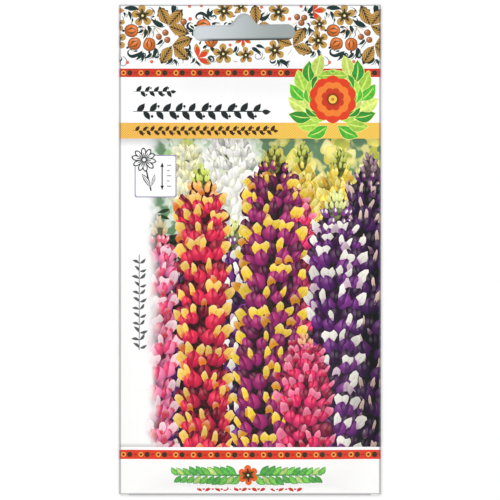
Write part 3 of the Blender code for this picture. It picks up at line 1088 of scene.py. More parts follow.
# %% The spikes in front
leaves(14, 32, (10, 82, 84, 136), 0.9)
spike("lilac_low", LILAC, (35.4, -66), (34.6, -140), 15, 45, across=(4, 4))
spike("indigo_right", INDIGO, (77.0, -46), (75.4, -141), 17, 46, across=(4, 5))
spike("indigo_low", INDIGO, (18.2, -78), (17.4, -142), 12, 52, across=(3, 4), buds=4.0)
spike("blush_left", BLUSH, (12.0, -65), (10.8, -142), 11, 47, across=(3, 4))
spike("lilac_right", LILAC, (66.4, -57), (64.6, -142), 16, 48, across=(4, 4))
spike("crimson_left", CRIMSON, (25.2, -49), (26.2, -142), 15, 49, across=(4, 4))
spike("plum_middle", PLUM, (47.2, -43), (45.6, -142), 18.6, 50, across=(5, 4))
spike("rose_front", ROSE, (57.0, -101), (56.4, -143), 15, 51, scale=1.1, across=(4, 4), buds=4.0)
print(f"{len(plate)} patches after the picture")

# %% [markdown]
# The white fields are printed over the picture's rims, so the picture ends in straight edges. The orange
# band and the lower red one lie on the white.

# %% The fields round the picture
ORANGE, LOWER_RED = (246, 176, 66), (226, 62, 40)
field(PICTURE_FOOT, BELOW, WHITE)
field(ABOVE, PICTURE_TOP, WHITE)
field(ABOVE, BELOW, WHITE, across=(PICTURE_X[1], SHEET_X[1]))
field(BAND_TOP, PICTURE_TOP, ORANGE, HATCH)
field(RED_TOP, FOOT_TOP, LOWER_RED, across=SHEET_X)
print(f"{len(plate)} patches with the fields")

# %% [markdown]
# ## The folk ornament
#
# The header carries a painted folk ornament: blossoms, gooseberries, berries on stalks, veined leaves and
# dark brush curls on white. A few motifs are stamped from one list of places, and the list repeats round
# the whole sheet, cut by its top edge. The slots are cut through it later.

# %% Inks, discs and brush strokes
GOLD, DARK_GOLD, LINE, TAN = (195, 152, 80), (120, 82, 30), (54, 50, 24), (206, 160, 100)
TEAL, GREY_TEAL = (26, 52, 50), (106, 128, 121)
RUST, AMBER, VERMILION, CREAM = (229, 119, 54), (178, 106, 56), (226, 70, 42), (244, 240, 180)


def disc(radius, sides=12, centre=(0, 0)):
    """A round outline."""
    return np.array([(centre[0] + radius * math.cos(2 * math.pi * k / sides),
                      centre[1] + radius * math.sin(2 * math.pi * k / sides)) for k in range(sides)])


def swirl(length, turning, thickness, sides=11, late=1.6):
    """A brush stroke from (0, 0) upward: it swells early, curls to the right, the later the more."""
    spine = np.zeros((sides + 1, 2))
    headings = []
    for step in range(sides):
        heading = math.pi / 2 - turning * ((step + 0.5) / sides) ** late
        headings.append(heading)
        spine[step + 1] = spine[step] + length / sides * np.array((math.cos(heading), math.sin(heading)))
    headings = np.array(headings + headings[-1:])
    t = np.linspace(0, 1, sides + 1)
    half = thickness / 2 * np.maximum(np.sin(math.pi * t ** 0.62), 0.14)
    outward = np.column_stack((-np.sin(headings), np.cos(headings))) * half[:, None]
    return np.concatenate((spine - outward, (spine + outward)[::-1]))


print(f"a curled stroke has {len(swirl(7.8, 5.4, 1.05))} corners")

# %% The ornament's motifs
PETAL = [(0, 0), (0.45, 0.8), (0.98, 1.75), (0.9, 2.65), (0, 3.15), (-0.9, 2.65), (-0.98, 1.75), (-0.45, 0.8)]


def blossom(size=1.0, petals=5, ink=GOLD):
    """Veined petals round a dark heart with a cream middle."""
    turns = [360 / petals * k + 4 for k in range(petals)]
    patches = [(placed(rounded(PETAL), turn=turn, size=size), ink, FOLK_PETAL, turn) for turn in turns]
    patches += [(placed(blade(2.25, 0.56), turn=turn, size=size), LINE, PLAIN) for turn in turns]
    patches += [(placed(blade(1.3, 0.5), turn=turn + 180 / petals, size=size), LINE, PLAIN)
                for turn in turns]
    return patches + [(disc(0.72 * size, 9), LINE, PLAIN), (disc(0.36 * size, 8), CREAM, PLAIN)]


def gooseberry():
    """A striped berry with the withered rest of its flower below."""
    patches = [(disc(2.1, 16) * (0.95, 1.02), DARK_GOLD, PLAIN), (disc(1.86, 16) * (0.95, 1.02), RUST, BERRY)]
    for side in (1, -1):
        patches.append((blade(3.1, 0.55, bend=side * 0.75) - (0, 1.5), DARK_GOLD, PLAIN))
    return patches + [(placed(blade(1.0, 0.75), 0, -1.9, 180), LINE, PLAIN)]


def veined_leaf():
    """A gold leaf on a toothed dark edge."""
    edge = blade(6.6, 3.75, 0.52, sides=10)
    teeth = [(x * (1.0 if y < 3 else 1.14 if i % 2 else 0.9), y * 1.01) for i, (x, y) in enumerate(edge)]
    return [(teeth, LINE, PLAIN), (blade(6.35, 3.5, 0.52, sides=7), GOLD, FOLK_LEAF)]


def tulip():
    """Three red petals with gold rims."""
    patches = []
    for turn in (-60, 60, 0):
        patches += [(placed(blade(4.4, 1.9, 0.58), turn=turn), GOLD, PLAIN),
                    (placed(blade(3.5, 1.5, 0.58) + (0.12, 0), turn=turn), VERMILION, PLAIN)]
    return patches


FOLK = [blossom(), gooseberry(), veined_leaf(),
        [(disc(1.0, 12), DARK_GOLD, PLAIN), (disc(0.88, 12, (-0.05, 0.05)), AMBER, BERRY)],
        tulip(), [(swirl(7.8, 5.4, 1.05, 13, 2.6), TEAL, PLAIN)], [(swirl(3.6, 4.4, 0.6), TEAL, PLAIN)],
        [(swirl(2.15, 0.8, 0.78, 7), TEAL, PLAIN)], [(swirl(2.4, 1.3, 0.32, 6), GREY_TEAL, PLAIN)],
        [(swirl(7.4, 6.4, 0.3, 14), GREY_TEAL, PLAIN)], [(blade(1, 0.075, sides=2), TAN, PLAIN)],
        [(disc(0.55, 9), (228, 112, 90), PLAIN)]]
(BLOSSOM, GOOSEBERRY, LEAF, BERRY_DROP, TULIP, CURL, HOOK, STROKE, SLIM, SPIRAL,
 STALK, DOT) = range(len(FOLK))
print(len(FOLK), "motifs in the ornament")

# %% One repeat of the ornament
REPEAT = 61.8
# Each row is a motif: how far right and down it stands (mm), its turn (degrees) and its size. A size below
# zero mirrors it.
ONE_REPEAT = {
    STALK: [(8.4, 6.3, 120, 3.2), (8.4, 6.3, 153, 4.5), (8.6, 6.3, -171, 4), (10.4, 6.4, -146, 3.4),
            (10.4, 6.4, -117, 3.5), (16.4, 12.2, 50, 1.6), (53, 13.2, 145, 2.9), (54.8, 5.2, 120, 2.2),
            (13.8, 6.5, -85, 1.6), (30.2, 5.2, 100, 2.6), (60.8, 7.2, 60, 2)],
    SLIM: [(2.5, 2.7, 175, 0.7), (10.9, 2.5, 20, -1.2), (10.6, 6.8, -170, 0.9), (13.3, 12.4, 110, -0.8),
           (17, 17.3, 160, 0.7), (21.3, 15.8, 175, 0.7), (38.5, 2.5, -10, 0.8), (36.6, 13.6, 140, 0.7),
           (44.3, 3.3, 10, 0.6), (54.5, 7.9, -50, 0.8), (57.2, 5.4, -130, 1), (57.4, 2.2, 5, 0.7),
           (59.4, 8.3, 170, 0.8), (11.6, 15.4, -150, 0.7), (29.8, 16.9, 140, 0.7), (46.2, 4.6, 60, 0.7),
           (0.9, 3.4, -150, 0.8), (3.9, 5.2, 170, 0.8), (9.9, 4.6, 150, 0.8), (6.5, 6.6, -100, 0.8),
           (11.3, 6.9, 60, -0.9), (10.3, 8.2, -165, 0.9), (29.4, 5.9, -70, 0.8), (31.0, 5.7, 60, -0.7),
           (53.3, 8.0, -20, 0.9), (54.2, 7.2, -60, 0.7), (56.9, 0.9, 160, 0.8), (58.5, 4.9, -160, 0.8),
           (56.6, 8.6, 175, 0.9), (59.8, 15.2, 150, 0.8), (61.6, 16.4, -140, 0.9), (44.6, 15.9, 150, 0.8),
           (36.2, 17.4, 100, 0.7), (19.2, 16.4, -150, 0.8)],
    SPIRAL: [(0.9, 15.6, -120, 1), (43.8, 14.3, -170, 0.95)],
    STROKE: [(2.2, 1.1, -80, 1.75), (1.6, 1.2, -60, 0.9), (2.8, 2, -150, 1.15), (1.4, 2.2, -155, 0.7),
             (4, 4.1, -175, 0.6), (10.8, 3.4, 120, 0.6), (13.5, 6.3, 80, 1.9), (12.8, 6.2, 50, 0.8),
             (11.8, 6, 40, 0.9), (5.7, 6.9, -70, 0.7), (7.4, 7.5, 135, 1), (8.1, 7.4, 180, 1.3),
             (8.8, 6.3, -155, 1.15), (13.3, 10.6, 143, 1.1), (6.9, 14.3, 160, 1.4), (6.9, 14.7, -165, 1.2),
             (5.6, 14, 110, 0.6), (9.9, 14.7, 140, 1.2), (11.1, 13.1, -178, 1.5), (16.2, 16.2, 150, 1.2),
             (16.7, 16.6, -140, 0.95), (19.8, 13.5, -110, 1.2), (20.8, 14.7, -130, 0.9), (23, 16.2, 165, 0.9),
             (23.3, 17.2, -125, 0.9), (22.9, 7.1, 65, 0.75), (22.8, 7.9, 110, 0.8), (22.6, 9.6, 20, 0.7),
             (27.4, 3.6, 14, 1.15), (27.6, 3.7, -16, 1.1), (26.4, 4.5, 50, 0.7), (28.3, 6.1, -55, 0.8),
             (32, 6.1, -40, 0.6), (33.2, 6, -65, 0.7), (34.6, 3.7, -60, 0.5), (34.4, 4.8, -150, 0.45),
             (35.2, 2.3, -80, 0.8), (24.6, 12.2, -10, 0.6), (25.6, 13.4, -40, 0.8), (27.9, 13, -130, 1.4),
             (27, 15.9, -130, 0.9), (36, 12.6, 160, 1.1), (43, 4.6, -12, 1.15), (43, 4.7, -75, -1.6),
             (40.5, 13.1, -115, 1.5), (41.8, 12.5, -95, 1.2), (48.4, 16.8, -155, 1), (49, 16.7, -115, 1.5),
             (50.8, 18.2, -35, 0.8), (56.9, 12, -30, 0.8), (57.4, 12.2, -85, 0.7), (56.8, 6.9, -170, 1.1),
             (58, 6.8, -165, 1.15), (53.9, 8.1, 5, 0.9), (57.6, 5.5, -135, 0.6), (57.6, 2.6, -50, -1.5),
             (57, 2, 10, 0.75), (57.9, 3.1, -80, 1.1), (58.2, 3.8, -95, 0.8), (60.7, 13.5, -160, 1),
             (10.4, 1.6, 150, 0.8), (10.5, 2.2, 110, 0.6), (57.1, 7.9, 150, 0.7), (58.6, 7.6, -120, 0.6),
             (59.6, 14.1, 165, 0.9), (60.9, 14.8, -150, 0.9), (17.2, 0.2, 175, 0.9), (16.4, 0, -170, 1.5),
             (57.6, 12.9, -140, 0.7)],
    HOOK: [(7, 14.9, -80, 0.6), (10.6, 14.6, 175, -0.9), (20.9, 14, -50, -0.9), (22.9, 7.7, 90, 1.25),
           (28, 3.9, -40, 0.75), (27.2, 15.9, -75, 0.95), (35.6, 14.3, -170, -0.8), (48, 16.9, 150, 0.9),
           (60.7, 15.8, -170, -0.95)],
    CURL: [(7.1, 14.1, 128, 1), (27.7, 4.4, 44, -0.95)],
    LEAF: [(15, 6.3, 28, 1), (15.1, 6.3, -40, 1), (15.1, 6.4, -114, 1), (16.3, 12.3, -70, 1),
           (16.3, 12.4, -135, 1), (16.1, 12.4, 150, 1), (53.1, 12.4, -37, 1), (53.1, 12.5, -108, 0.98),
           (53, 12.3, 70, 0.8), (42, 6, 8, 0.92), (46.3, 6.1, 96, 0.62)],
    TULIP: [(24, 16.2, -54, 1), (37.9, 10.3, 180, 0.66), (59.2, 1.8, -88, 1)],
    GOOSEBERRY: [(3.7, 7.9, -90, 1), (4.6, 11.9, -62, 1), (9.2, 12.1, 0, 1), (25.7, 6.3, -90, 1),
                 (28.1, 10.9, 0, 1)],
    BERRY_DROP: [(14.1, 8.5, 0, 1), (12.1, 9.8, 0, 1), (14.7, 10.7, 0, 1), (19.7, 5.2, 0, 1),
                 (54.4, 3.75, 0, 1), (56.6, 3.95, 0, 1), (55.7, 5.5, 0, 1)],
    BLOSSOM: [(7.1, 3.3, 0, 1.06), (32, 1.9, 20, 1.04), (37.2, 0.3, 0, 0.8), (31.8, 15, 0, 1.02),
              (38.7, 15.4, 0, 0.8), (48.7, 2.2, -10, 1.04), (47.6, 13.9, 12, 1), (61.2, 5.9, 0, 0.78),
              (60.9, 10.9, 8, 1.02)],
    DOT: [(2.5, 17.6, 0, 1), (9.9, 17.4, 0, 1), (21.5, 0.4, 0, 1), (25.1, 0.3, 0, 0.9), (21.7, 4.3, 0, 1.1),
          (33.9, 12.3, 0, 1), (43.5, 0.7, 0, 1), (55.6, 0.4, 0, 1), (52.1, 4.3, 0, 1)],
}
print(sum(map(len, ONE_REPEAT.values())), "places in one repeat")

# %% Printing the ornament
LARGE_STROKE = 0.65
LARGER = {STROKE: 1.14, HOOK: 1.14}
FROM_ENDS = 0.5
# On the front, a thin grey stroke shades each of the larger dark ones
shadows = [(across + 0.5, down + 0.35, turn + 16, size * 0.95) for kind in (STROKE, HOOK, CURL)
           for across, down, turn, size in ONE_REPEAT[kind] if abs(size) > LARGE_STROKE]
points = []
for kind, rows in [(SLIM, shadows)] + list(ONE_REPEAT.items()):
    first, last = (0, 2 * HALF_WIDTH) if rows is shadows else SHEET_X
    larger = LARGER.get(kind, 1)
    for across, down, turn, size in rows:
        for copy in range(-2, 3):
            place = REPEAT * copy + across
            if first + FROM_ENDS < place < last - FROM_ENDS:
                points.append((place, -down, kind, turn, size * larger, abs(size) * larger))
stamp_motifs("folk", FOLK, points, 0.03, 3.0, 61, waver=0.1)
print(len(points), "motifs in the ornament round the sheet")

# %% [markdown]
# The upper red band is printed after the ornament, so nothing hangs into it. Rings, small dark blooms and
# short twigs take turns along both bands.

# %% The red bands
UPPER_RED = (208, 58, 42)
field(ORNAMENT_FOOT, PANEL_TOP, UPPER_RED, across=SHEET_X)
ring = [(disc(0.78, 12), (240, 182, 72), PLAIN), (disc(0.5, 10), (222, 96, 44), PLAIN),
        (disc(0.3, 8), (54, 30, 18), PLAIN)]
dark_bloom = [(placed(disc(0.36, 7), 0.52 * math.cos(a), 0.52 * math.sin(a)), (52, 46, 30), PLAIN)
              for a in (0.3, 1.35, 2.4, 3.45, 4.5, 5.5)] + [(disc(0.42, 8), (60, 54, 34), PLAIN)]
twig = [(placed(blade(1.5, 0.5), -0.6, 0, -90), (178, 44, 34), PLAIN)]
FIRST_RING, BAND_STEP = 1.3, 5.35
ASIDE = (0, 1.9, 3.5)
row = []
for step in range(-9, 25):
    x = FIRST_RING + step * BAND_STEP
    if SHEET_X[0] < x < SHEET_X[1]:
        for y in (-(ORNAMENT_FOOT + PANEL_TOP) / 2, -(RED_TOP + FOOT_TOP) / 2):
            row += [(x + aside, y, pick, 0, 1, 1) for pick, aside in enumerate(ASIDE)]
stamp_motifs("band", [ring, dark_bloom, twig], row, 0.03, 6.0, 62)
print(f"{len(plate)} patches after the ornament")

# %% [markdown]
# ## The title panel, the marks and the foot
#
# Leafy twigs stand in the place of a title. A wreath of leaves round a rosette hangs over the panel's
# right end. A small box on the left shows a drawn daisy beside a height arrow, and a garland with one
# blossom fills the foot.

# %% Twigs
INK = (30, 38, 40)


def branch(x0, x1, y, height, seed, ink=INK):
    """A straight twig from x0 to x1 with slanting leaves on both its sides and small berries between them."""
    thin, thick = 0.02 * height, 0.045 * height
    press([(x0, y - thin), (x1, y - thick), (x1, y + thick), (x0, y + thin)], ink)
    leaf = [(blade(0.8 * height, 0.42 * height, 0.45, bend=0.05 * height), ink, PLAIN)]
    stalk = [(-0.02 * height, 0), (0.02 * height, 0), (0, -0.3 * height)]
    berry = [(disc(0.1 * height, 7), ink, PLAIN), (stalk, ink, PLAIN)]
    pitch = 0.46 * height
    places = [(x1, y, 0, -90, 0.9, 0.8)]
    for step in range(int((x1 - x0) / pitch)):
        side = -1 if step % 2 else 1
        x = x0 + pitch * (0.6 + step)
        places.append((x, y, 0, -90 + side * 48, side, 1))
        if step % 4 > 1:
            places.append((x + 0.35 * pitch, y - side * 0.36 * height, 1, 0 if side < 0 else 180, 1, 1))
    stamp_motifs(f"branch_{seed}", [leaf, berry], places, 0.06, 5, seed)


# Two dark twigs in the panel and a brown one in the orange band
branch(4.4, 15.6, -26.5, 2.9, 71)
branch(4.2, 43.6, -32.6, 4.3, 72)
branch(4.2, 47.0, -38.5, 2.5, 73, (66, 40, 22))
print(f"{len(plate)} patches with the twigs")

# %% The garland that climbs the white margin
GREY = (88, 92, 96)
CLIMB_X, FIRST_PAIR, PAIR_PITCH = 6.1, -105, 2.35
CLIMB_STEM = (5.98, 6.22, -105.6, -76.4)    # left, right, foot and top
climbing = [(placed(blade(2.5, 0.9, 0.5, bend=0.25), 0.1, 0, turn), GREY, PLAIN) for turn in (-58, 58)]
places = [(CLIMB_X, FIRST_PAIR + PAIR_PITCH * step, 0, (-12, 14)[step % 2], 1, 1) for step in range(12)]
block(*CLIMB_STEM, GREY)
stamp_motifs("climbing", [climbing], places, 0.1, 8, 74)
print(f"{len(places)} pairs of leaves climb the margin")

# %% The box with a drawn daisy
BOX = (4.7, 17.5, 45.9, 58.9)    # left, right, top and foot
LILAC_LINE = (150, 132, 176)


def box_patch(inset, ink, radius=0.6):
    """A rectangle with round corners, that far inside the box's edge."""
    x = (BOX[0] + inset + radius, BOX[1] - inset - radius)
    y = (-BOX[3] + inset + radius, -BOX[2] - inset - radius)
    outline = []
    for centre, start in (((x[1], y[0]), -90), ((x[1], y[1]), 0), ((x[0], y[1]), 90), ((x[0], y[0]), 180)):
        outline += arc_points(centre, radius, math.radians(start), math.radians(start + 90), 4)
    press(outline, ink)


box_patch(0, LILAC_LINE)
box_patch(0.3, WHITE)
petal_edge = rounded([(0, 0.3), (0.62, 1.6), (0.78, 3.0), (0, 3.85), (-0.78, 3.0), (-0.68, 1.6)])
petal_white = rounded([(0, 0.7), (0.4, 1.7), (0.46, 2.9), (0, 3.4), (-0.46, 2.9), (-0.4, 1.7)])
daisy_petal = [(petal_edge, INK, PLAIN), (petal_white, WHITE, PLAIN),
               (blade(1.8, 0.32) + (0, 0.6), INK, PLAIN)]
daisy_heart = [(disc(0.85, 10), INK, PLAIN), (disc(0.55, 9), WHITE, PLAIN)]
drawn_leaf = [(blade(5.2, 1.5, 0.55, bend=0.3), INK, PLAIN),
              (blade(4.6, 0.86, 0.55, bend=0.3) + (0.02, 0.25), WHITE, PLAIN),
              (blade(4.4, 0.2, bend=0.3) + (0.02, 0.2), INK, PLAIN)]
press([(9.5, -56.9), (9.95, -56.9), (8.15, -49.2), (7.75, -49.3)], INK)
places = [(9.6, -56.2, 2, 34, 1, 1), (9.7, -55.6, 2, -16, 0.6, 0.75)]
places += [(7.6, -47.4, 0, 36 * k + 8, 1, 1) for k in range(10)] + [(7.6, -47.4, 1, 0, 1, 1)]
stamp_motifs("daisy", [daisy_petal, daisy_heart, drawn_leaf], places, 0.05, 4, 75)
print(f"{len(plate)} patches with the daisy")

# %% The height arrow and its scale
ARROW_X, ARROW_HALF = 13.12, 0.55
block(12.95, 13.29, -55.9, -49.0, INK)
for tip, way in ((-48.2, -1), (-56.7, 1)):
    press([(ARROW_X, tip), (ARROW_X - ARROW_HALF, tip + way * 1.4), (ARROW_X + ARROW_HALF, tip + way * 1.4)],
          INK)
for step in range(5):
    end, y = 15.9 - 0.6 * (step % 2), -55.6 + 1.6 * step
    block(14.6, end, y, y + 0.22, INK)
print(f"{len(plate)} patches with the arrow")

# %% The wreath and its rosette
WREATH = (65.3, -28.9)
GREENS = [(92, 200, 62), (176, 224, 84), (58, 158, 58), (214, 236, 120)]
LIME = (236, 240, 130)
wreath_leaves = [[(blade(7.4, 4.0, 0.5, sides=7, bend=0.5), LIME, PLAIN),
                  (blade(7.0, 3.6, 0.5, sides=7, bend=0.5) + (0, 0.18), green, LEAFLET),
                  (blade(6.0, 0.3, 0.5, bend=0.5) + (0, 0.4), LIME, PLAIN)] for green in GREENS]
places = []
for ring_radius, share, lean, number in ((8.2, 1.0, 38, 8), (6.9, 0.82, -8, 9)):
    for step in range(number):
        for side in (1, -1):
            inner = share < 1
            angle = -90 + side * (10 + 19 * step + 9 * inner)
            x = WREATH[0] + ring_radius * math.cos(math.radians(angle))
            y = WREATH[1] + ring_radius * math.sin(math.radians(angle))
            places.append((x, y, (step + inner) % 4, angle - 90 + side * (90 - lean), share * side, share))
stamp_motifs("wreath", wreath_leaves, places, 0.04, 3, 76)
rosette = []
for number, size, ink in ((10, 2.35, (228, 66, 34)), (10, 1.75, (244, 132, 52)), (8, 1.15, (206, 62, 34))):
    for k in range(number):
        turn = 360 / number * (k + 0.5 * (size < 2))
        rosette.append((placed(rounded(PETAL), turn=turn, size=size), ink, FOLK_PETAL, turn))
for radius, ink in ((1.7, (120, 60, 24)), (1.3, (246, 206, 84)), (0.5, (206, 130, 44))):
    rosette.append((disc(radius, 14), ink, PLAIN))
stamp_motifs("rosette", [rosette], [(*WREATH, 0, 0, 1, 1)], 0, 0, 77)
print(f"{len(plate)} patches with the wreath")

# %% The foot's garland with its blossom, and the thin red row below it
heart = (39.4, -143.7)
spray = [[(blade(4.2, 2.3, 0.5, sides=5, bend=0.35), (60, 146, 74), PLAIN),
          (blade(3.9, 1.8, 0.5, sides=5, bend=0.35) + (0, 0.14), green, LEAFLET)]
         for green in ((128, 206, 92), (190, 226, 130), (98, 184, 86))]
places = []
for side in (1, -1):
    for step in range(20):
        lift = 1 if step % 2 else -1
        size = 1 - 0.012 * step
        places.append((heart[0] + side * (2.4 + 1.0 * step), heart[1] + 0.1 * lift, (0, 2, 1, 2, 0)[step % 5],
                       -side * (90 - lift * 44), side * size, size))
stem = [(-22.6, -0.1), (0, -0.3), (22.6, -0.1), (22.6, 0.1), (0, 0.3), (-22.6, 0.1)]
press(np.array(stem) + heart, (70, 150, 60))
stamp_motifs("foot_garland", spray, places, 0.05, 5, 78)
stamp_motifs("foot_blossom", [blossom(1.0, 6, (236, 104, 44))], [(*heart, 0, 0, 1, 1)], 0, 0, 79)
FOOT_RED = (206, 52, 30)
red_leaf = [(placed(blade(2.5, 1.15) - (0, 1.25), turn=-50), FOOT_RED, PLAIN)]
red_dot = [(disc(0.42, 8), FOOT_RED, PLAIN)]
places = [(24.4 + 1.4 * step, -148.0, step % 2, 0 if step % 4 else 100, 1, 1) for step in range(23)]
stamp_motifs("foot_row", [red_leaf, red_dot], places, 0.05, 5, 80)
print(f"{len(plate)} patches on the plate")

# %% [markdown]
# ## From the plate to the paper
#
# A constrained triangulation takes the sheet's outline, the slots and every patch of ink. Where patches
# overlap, each triangle belongs to several of them, and the one printed last gives it its ink. A patch
# whose outline crosses itself would spill over the sheet, which shows in the area it fills, and is left
# out. Only the edges where the ink in sight changes are kept.

# %% The triangulation
WELD = 1e-4
SHEET_LOOPS = 1 + len(slots)    # the outline and the slots come before the patches
OFF_PAPER, BARE = -2, -1


def triangulate(points, edges, loops):
    """Points, triangles, the input point behind each point, and the loops that hold each triangle."""
    found = delaunay_2d_cdt([Vector(p) for p in points], edges, loops, 0, WELD, True)
    return np.array([tuple(p) for p in found[0]]), np.array(found[2]), found[3], found[5]


def loop_of(points, outline):
    """Adds an outline's corners to the points, and gives their numbers."""
    points += [tuple(corner) for corner in outline]
    return list(range(len(points) - len(outline), len(points)))


def on_paper(owners):
    """Whether a triangle lies inside the sheet's outline and outside the slots."""
    return 0 in owners and not any(slot_loop in owners for slot_loop in range(1, SHEET_LOOPS))


corners = []
loops = [loop_of(corners, outline) for outline in [sheet_outline()] + slots]
loops += [loop_of(corners, patch[0]) for patch in plate]
first_flat, first, _, owners = triangulate(corners, [], loops)
print(f"{len(first)} triangles between {len(loops)} outlines")

# %% The patches in sight
SPILL_SHARE, SPILL_AREA = 1.02, 0.01
sizes = first_flat[first]
sizes = abs(np.cross(sizes[:, 1] - sizes[:, 0], sizes[:, 2] - sizes[:, 0])) / 2
filled = np.zeros(len(loops))
for size, own in zip(sizes, owners):
    filled[own] += size
spilt = {number for number, patch in enumerate(plate, SHEET_LOOPS)
         if filled[number] > SPILL_SHARE * area(patch[0]) + SPILL_AREA}
owners = [[number for number in own if number not in spilt] for own in owners]
first_patch = np.array([max(max(own) - SHEET_LOOPS, BARE) if on_paper(own) else OFF_PAPER for own in owners])
directed = first[:, [0, 1, 1, 2, 2, 0]].reshape(-1, 2)
patch_left_of = dict(zip(map(tuple, directed.tolist()), np.repeat(first_patch, 3).tolist()))
outlines = [(a, b) for (a, b), patch in patch_left_of.items()
            if patch_left_of.get((b, a), OFF_PAPER) < patch]
print(f"{len(plate)} patches, {len(spilt)} left out for crossing themselves, {len(outlines)} edges in sight")

# %% [markdown]
# A second triangulation keeps only the edges in sight and adds the lines along which the paper bends and an
# even grid. Each of its triangles takes its ink from the place of its middle in the first one.

# %% The lines along which the paper bends
ARC_STEPS = 8
lap_kinks = [LAP_EDGE + EDGE_PLAY, LAP_EDGE + EDGE_PLAY + RAMP]
tongue_kinks = [TONGUE_HALF + EDGE_PLAY, TONGUE_HALF + EDGE_PLAY + RAMP]
half_columns = lap_kinks + [FLAT_HALF - SIDE_EASE, tongue_kinks[0]]
half_columns += [FLAT_HALF + ARC * step / ARC_STEPS for step in range(ARC_STEPS + 1)]
half_columns += [TURN_OVER - x for x in tongue_kinks + [lap_kinks[1], lap_kinks[0], LAP_EDGE, -LAP_EDGE / 2]]
fold_columns = sorted(half_columns + [-u for u in half_columns])
fold_rows = [FOLD_LINE - ARC * step / ARC_STEPS for step in range(ARC_STEPS + 1)]
tongue_rows = [BOTTOM + TONGUE + EDGE_PLAY, BOTTOM + TONGUE + EDGE_PLAY + RAMP, FOLD_LINE + SIDE_EASE]
print(f"{len(fold_columns)} lines up the sheet and {len(fold_rows) + len(tongue_rows)} across it")

# %% The grid
CELL, CELL_BACK = 2.0 * MM, 3.2 * MM


def grid(cell, cell_back):
    """Points all over the sheet, closer together on the front, so that the mesh can bend smoothly."""
    points = []
    v = TOP - cell / 2
    row = 0
    while v > FOLD_LINE + cell / 2:
        shift = cell / 2 * (row % 2)
        points += [(u, v) for u in np.arange(-FLAT_HALF + cell / 2 + shift, FLAT_HALF - cell / 4, cell)]
        if row % max(1, round(cell_back / cell)) == 0:
            for u in np.arange(FLAT_HALF + ARC + cell_back / 2, BACK_EDGE - cell_back / 4, cell_back):
                points += [(u, v), (-u, v)]
        v -= cell
        row += 1
    for v in np.arange(TONGUE_END + cell_back, FOLD_LINE - ARC, cell_back):
        points += [(u, v) for u in np.arange(-TONGUE_HALF + 5 * MM, TONGUE_HALF - 4 * MM, cell_back)]
    for u in fold_columns:
        if abs(u) < FLAT_HALF - 1e-6:
            points += [(u, v) for v in np.arange(FOLD_LINE + cell / 3, TOP, cell)]
    for v in tongue_rows:
        points += [(u, v) for u in np.arange(-FLAT_HALF + cell / 2, FLAT_HALF, cell)]
    return [(plate_x(u), plate_y(v)) for u, v in points]


print(len(grid(CELL, CELL_BACK)), "points in the grid")

# %% The printed side
LONGEST = 2.0
sheet_foot = plate_y(TONGUE_END) - 1
beyond_tongue = TONGUE_HALF + 1 * MM
in_sight, ends = np.unique(np.array(outlines), return_inverse=True)
corners = [tuple(p) for p in first_flat[in_sight]]
lines = []
for a, b in ends.reshape(-1, 2).tolist():
    start, end = np.array(corners[a]), np.array(corners[b])
    parts = math.ceil(np.linalg.norm(end - start) / LONGEST)
    between = loop_of(corners, [start + (end - start) * part / parts for part in range(1, parts)])
    lines += list(zip([a] + between, between + [b]))
for u in fold_columns:
    lines.append(loop_of(corners, [(plate_x(u), -ABOVE), (plate_x(u), sheet_foot)]))
for v in tongue_rows:
    lines.append(loop_of(corners, [(x, plate_y(v)) for x in SHEET_X]))
for v in fold_rows:
    lines.append(loop_of(corners, [(plate_x(u), plate_y(v)) for u in (-beyond_tongue, beyond_tongue)]))
corners += grid(CELL, CELL_BACK)
flat, triangles, _, _ = triangulate(corners, lines, [])
finder = BVHTree.FromPolygons([(x, y, 0) for x, y in first_flat], first.tolist())
top_patch = []
for x, y in flat[triangles].mean(1):
    hit = finder.ray_cast(Vector((x, y, 1)), Vector((0, 0, -1)))[2]
    top_patch.append(OFF_PAPER if hit is None else first_patch[hit])
top_patch = np.array(top_patch)
triangles, top_patch = triangles[top_patch > OFF_PAPER], top_patch[top_patch > OFF_PAPER]
used, triangles = np.unique(triangles, return_inverse=True)
flat, triangles = flat[used], triangles.reshape(-1, 3)
print(f"{len(triangles)} triangles on the printed side")

# %% [markdown]
# The plain side uses a coarser mesh that shares only the rim with the printed side. The paper's cut edge
# joins the two, so that the sheet is one closed solid with the paper's real thickness.


# %% The rims
def rim_loops(triangles):
    """The mesh's open edges as loops of points, with the paper on their left."""
    directed = triangles[:, [0, 1, 1, 2, 2, 0]].reshape(-1, 2)
    keys = set(map(tuple, directed.tolist()))
    following = {a: b for a, b in keys if (b, a) not in keys}
    found = []
    while following:
        first, at = following.popitem()
        around = [first]
        while at != first:
            around.append(at)
            at = following.pop(at)
        found.append(around)
    return sorted(found, key=len, reverse=True)


rims = rim_loops(triangles)
rim_points = [i for around in rims for i in around]
rim_flat = flat[rim_points]
print("points round the rims:", [len(around) for around in rims])

# %% The plain side
CELL_PLAIN = 2.2 * MM
ON_LINE = 0.002


def straight_lines(points, axis, values):
    """Edges between the points that lie on each straight line across the sheet."""
    edges = []
    for value in values:
        on_line = np.flatnonzero(abs(points[:, axis] - value) < ON_LINE)
        on_line = on_line[np.argsort(points[on_line, 1 - axis])].tolist()
        edges += list(zip(on_line, on_line[1:]))
    return edges


